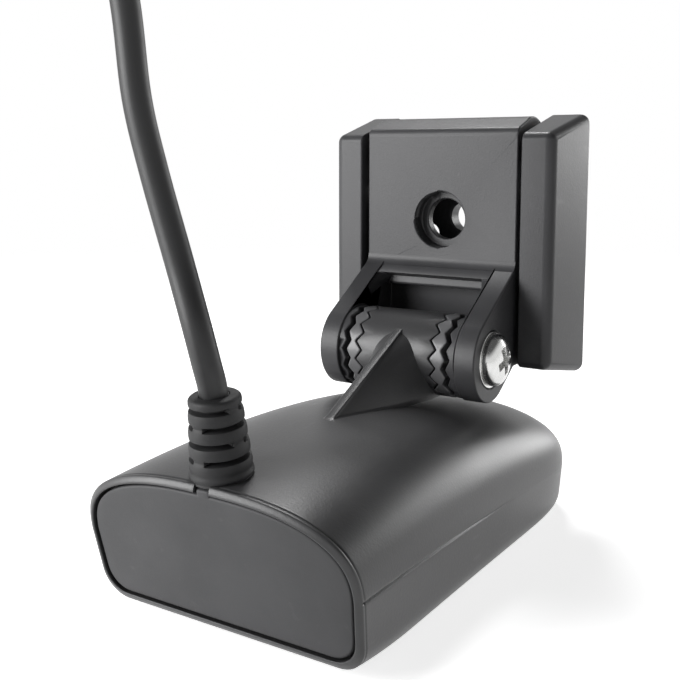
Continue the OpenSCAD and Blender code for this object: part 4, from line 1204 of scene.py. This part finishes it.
class CableOperator(bpy.types.Operator):
    """Lays the cable from the boot over an arch into its hank, with its ties."""

    bl_idname = "transducer.cable"
    bl_label = "Cable and hank"

    def execute(self, context):
        use = given(context)
        path, top = cable_path(use.pod, use.cable)
        jacket = tube(path, use.cable.diameter / 2, CABLE_SIDES)
        run = add_surface("cable_run", [(jacket, PIPE)], "pod", "cable_jacket",
                          "cable", "cable_hank", "cable_lead_out")
        ties = add_surface("tie_straps", tie_bands(use.cable), "pod", "tie_strap", "hank_ties")
        top * MM
        path * MM
        return {"FINISHED"}


class PlugOperator(bpy.types.Operator):
    """Makes the plug on the cable's far end: shell, ribbed collar, insert, pins and boot."""

    bl_idname = "transducer.plug"
    bl_label = "Plug"

    def execute(self, context):
        use = given(context)
        low, high = box_mm("plug_shell")
        place = np.array([(low[0] + high[0]) / 2, low[1], (low[2] + high[2]) / 2])
        for name, profile, slot, node in (
            ("plug_body", shell_profile(low, high), "plug_plastic", "plug_shell"),
            ("plug_relief", relief_profile(use.cable), "boot_rubber", "plug_boot"),
        ):
            reach, radius = np.array(profile, float).T[..., None]
            rings = turned(reach, radius, full_turn(PLUG_SIDES), 1) + place
            add_surface(name, [(rings, PIPE)], "pod", slot, node)
        add_surface("plug_ring", [(collar_ring(place), LOOP)], "pod", "plug_plastic", "plug_collar")
        dress("insert_plastic", "plug_insert")
        dress("pin_metal", "plug_pins")
        return {"FINISHED"}


class PodOperator(bpy.types.Operator):
    """Makes the housing: the pod's skin, the strut and the toothed knuckle."""

    bl_idname = "transducer.pod"
    bl_label = "Housing"

    def execute(self, context):
        use = given(context)
        sheets = [
            (pod_skin(use.pod), PIPE),
            (strut_blade(use.pod, use.pivot, use.axis), PIPE),
            (knuckle_barrel(use.pivot, use.axis), LOOP),
        ]
        add_surface("pod_moulding", sheets, "pod", "housing_plastic", "housing")
        return {"FINISHED"}


class CapOperator(bpy.types.Operator):
    """Makes the end cap with its key tab."""

    bl_idname = "transducer.cap"
    bl_label = "End cap"

    def execute(self, context):
        use = given(context)
        sheets = [(cap_plate(use.pod), PIPE), (key_tab(use.pod), PIPE)]
        add_surface("aft_plate", sheets, "pod", "cap_plastic", "end_cap")
        return {"FINISHED"}


class BootOperator(bpy.types.Operator):
    """Makes the boot with its flex slots."""

    bl_idname = "transducer.boot"
    bl_label = "Cable boot"

    def execute(self, context):
        use = given(context)
        foot, _ = boot_axis(use.pod, use.cable)
        boot = leaned(boot_surface(use.cable), foot, use.cable.boot_lean)
        add_surface("boot_moulding", [(boot, LOOP)], "pod", "boot_rubber", "cable_boot")
        dress("cable_jacket", "cable_tail")
        return {"FINISHED"}


class RatchetOperator(bpy.types.Operator):
    """Makes the two ratchets between the knuckle and the ears."""

    bl_idname = "transducer.ratchets"
    bl_label = "Ratchets"

    def execute(self, context):
        use = given(context)
        for side, word in ((-1, "left"), (1, "right")):
            ring = ratchet_ring(use.pivot, side, use.axis)
            add_surface(f"ratchet_ring_{word}", [(ring, LOOP)], "pod", "ratchet_plastic", f"ratchet_{word}")
        return {"FINISHED"}


class ArmOperator(bpy.types.Operator):
    """Makes the pivot arm: plate, two arms with toothed ears, cross-bar and the fillet at the fold."""

    bl_idname = "transducer.arm"
    bl_label = "Pivot arm"

    def execute(self, context):
        use = given(context)
        rounds = mesh_of("arm_rounds", (fold_fillet(use.pivot, use.axis), PIPE), (cross_bar(use.pivot), PIPE))
        bore = use.axis, use.pivot.head_radius - 1
        bevelled_copy("arm_moulding", "pivot_arm", 0.35, "arm", "arm_plastic", rounds, bore)
        return {"FINISHED"}


class BracketOperator(bpy.types.Operator):
    """Makes the mounting bracket."""

    bl_idname = "transducer.bracket"
    bl_label = "Mounting bracket"

    def execute(self, context):
        bevelled_copy("bracket_moulding", "mounting_bracket", 0.4, "bracket", "bracket_plastic")
        return {"FINISHED"}


class FastenerOperator(bpy.types.Operator):
    """Makes the pivot bolt, its washer and its lock nut."""

    bl_idname = "transducer.fasteners"
    bl_label = "Fasteners"

    def execute(self, context):
        use = given(context)
        bolt = bolt_surface(use.pivot, *box_mm("pivot_bolt"), use.axis)
        add_surface("bolt_turned", [(bolt, PIPE)], "arm", "stainless", "pivot_bolt")
        bevelled_copy("washer_disc", "bolt_washer", 0.15, "arm", "stainless")
        bevelled_copy("nut_hexagon", "lock_nut", 0.25, "arm", "stainless")
        return {"FINISHED"}


class ElementOperator(bpy.types.Operator):
    """Gives the pieces inside the pod their finishes."""

    bl_idname = "transducer.elements"
    bl_label = "Elements"

    def execute(self, context):
        dress("potting_resin", "potting")
        dress("piezo_ceramic", "line_crystal", "disc_crystal")
        dress("backing_cork", "line_backing", "disc_backing")
        dress("stainless", "temperature_bead")
        dress("lead_wire", "element_leads")
        return {"FINISHED"}


# Place, width, height and the setting for the power of each lamp, in metres
LAMPS = {
    "key_lamp": ((-0.60, -0.78, 0.28), 0.6, 0.7, "key_power"),
    "side_lamp": ((0.32, 0.94, 0.24), 0.36, 0.4, "side_power"),
    "top_lamp": ((-0.30, 0.46, 0.90), 0.25, 0.25, "top_power"),
}
SENSOR_WIDTH = 36
CLIP_START = 0.01
# Half width of the floor and its depth under the part, in millimetres, and where it fades, in metres
FLOOR_HALF, FLOOR_DROP = 2000, 0.05
FLOOR_FADE = {"From Min": 0.3, "From Max": 0.8}


class StageOperator(bpy.types.Operator):
    """Sets the camera, the floor, the soft lamps and the white surroundings."""

    bl_idname = "transducer.stage"
    bl_label = "Stage"

    def execute(self, context):
        settings = context.scene.transducer_stage
        context.scene.view_settings.view_transform = "Standard"
        self.camera(context, settings)
        self.floor(settings)
        self.world(context, settings)
        for name, (place, wide, tall, power) in LAMPS.items():
            self.lamp(name, place, wide, tall, getattr(settings, power))
        return {"FINISHED"}

    def camera(self, context, settings):
        """The camera of the photo."""
        data = bpy.data.cameras.new("photo_camera")
        camera = linked("photo_camera", data)
        camera.location = settings.place
        camera.rotation_euler = (settings.pitch, 0, settings.yaw)
        data.lens = settings.lens
        data.sensor_width = SENSOR_WIDTH
        data.shift_x, data.shift_y = settings.shift_x, settings.shift_y
        data.clip_start = CLIP_START
        context.scene.camera = camera

    def lamp(self, name, place, wide, tall, power):
        """A soft rectangular lamp that faces the pivot."""
        data = bpy.data.lights.new(name, "AREA")
        data.shape = "RECTANGLE"
        data.size, data.size_y = wide, tall
        data.energy = power
        lamp = linked(name, data)
        lamp.location = place
        way = PIVOT - np.array(place)
        lamp.rotation_euler = (np.arccos(-way[2] / np.linalg.norm(way)), 0, np.arctan2(-way[0], way[1]))

    def floor(self, settings):
        """A wide plain floor just under the sounding face, which fades into the white far from the part."""
        reach = np.array([-FLOOR_HALF, FLOOR_HALF])
        x, y = np.meshgrid(reach, reach)
        mesh = mesh_of("stage_floor", (np.stack([x, y, 0 * x - FLOOR_DROP], -1), SHEET))
        floor = linked("stage_floor", mesh)
        shade = Shade(bpy.data.materials.new("stage_floor"))
        glow = shade.mix(shade.seen(), (0, 0, 0), (settings.floor_lift,) * 3)
        mesh.materials.append(shade.finish((*settings.floor, 1), 0.9, Specular_IOR_Level=0.0,
                                           Emission_Color=glow, Emission_Strength=1.0))
        away = shade.node("ShaderNodeVectorMath", {"operation": "LENGTH"}, [shade.place()], out="Value")
        far = shade.node("ShaderNodeMapRange", {"interpolation_type": "SMOOTHSTEP"},
                         {"Value": away, **FLOOR_FADE})
        lit = Value(shade, shade.tree.nodes["Principled BSDF"].outputs[0])
        blend = shade.node("ShaderNodeMixShader", inputs=[far, lit, shade.node("ShaderNodeBsdfTransparent")])
        shade.feed(shade.tree.nodes["Material Output"].inputs["Surface"], blend)

    def world(self, context, settings):
        """White to the camera and to mirrors, softer to the rest, and dimmer overhead than round about."""
        context.scene.world = bpy.data.worlds.new("stage_white")
        shade = Shade(context.scene.world)
        way = shade.node("ShaderNodeTexCoord", out="Generated")
        up = shade.node("ShaderNodeSeparateXYZ", inputs=[way], out="Z")
        dim = shade.node("ShaderNodeMapRange", inputs={
            "Value": up, "From Min": 0.2, "From Max": 0.6, "To Min": 1.0, "To Max": settings.overhead})
        background = shade.tree.nodes["Background"]
        background.inputs["Color"].default_value = (1, 1, 1, 1)
        strength = shade.seen() * (1 - settings.ambient) + settings.ambient
        shade.feed(background.inputs["Strength"], strength * dim)


class TransducerPanel(bpy.types.Panel):
    """Lists the sizes, the colours and the steps that build the transducer."""

    bl_idname = "VIEW3D_PT_transducer"
    bl_label = "Sonar transducer"
    bl_space_type = "VIEW_3D"
    bl_region_type = "UI"
    bl_category = "Transducer"

    def draw(self, context):
        layout = self.layout
        for step in STEPS:
            layout.operator(step.bl_idname)
        for group in GROUPS:
            box = layout.box()
            box.label(text=group.__doc__)
            settings = getattr(context.scene, GROUPS[group])
            for name in group.__annotations__:
                box.prop(settings, name)


GROUPS = {
    PodSizes: "transducer_pod",
    PivotSizes: "transducer_pivot",
    CableSizes: "transducer_cable",
    Tints: "transducer_tints",
    StageSettings: "transducer_stage",
}
STEPS = (
    StageOperator, PlugOperator, CableOperator, PodOperator, CapOperator, BootOperator, RatchetOperator,
    ArmOperator, BracketOperator, FastenerOperator, ElementOperator,
)
CLASSES = (*GROUPS, *STEPS, TransducerPanel)


def register():
    """Registers the classes and hangs the groups of sizes on the scene."""
    for cls in CLASSES:
        bpy.utils.register_class(cls)
    for group, name in GROUPS.items():
        setattr(bpy.types.Scene, name, PointerProperty(type=group))


def unregister():
    """Takes the groups and the classes away again."""
    for name in GROUPS.values():
        delattr(bpy.types.Scene, name)
    for cls in reversed(CLASSES):
        bpy.utils.unregister_class(cls)


def main():
    """Builds the whole scene, one operator after the other."""
    register()
    for step in STEPS:
        group, name = step.bl_idname.split(".")
        getattr(getattr(bpy.ops, group), name)()


if __name__ == "__main__":
    main()
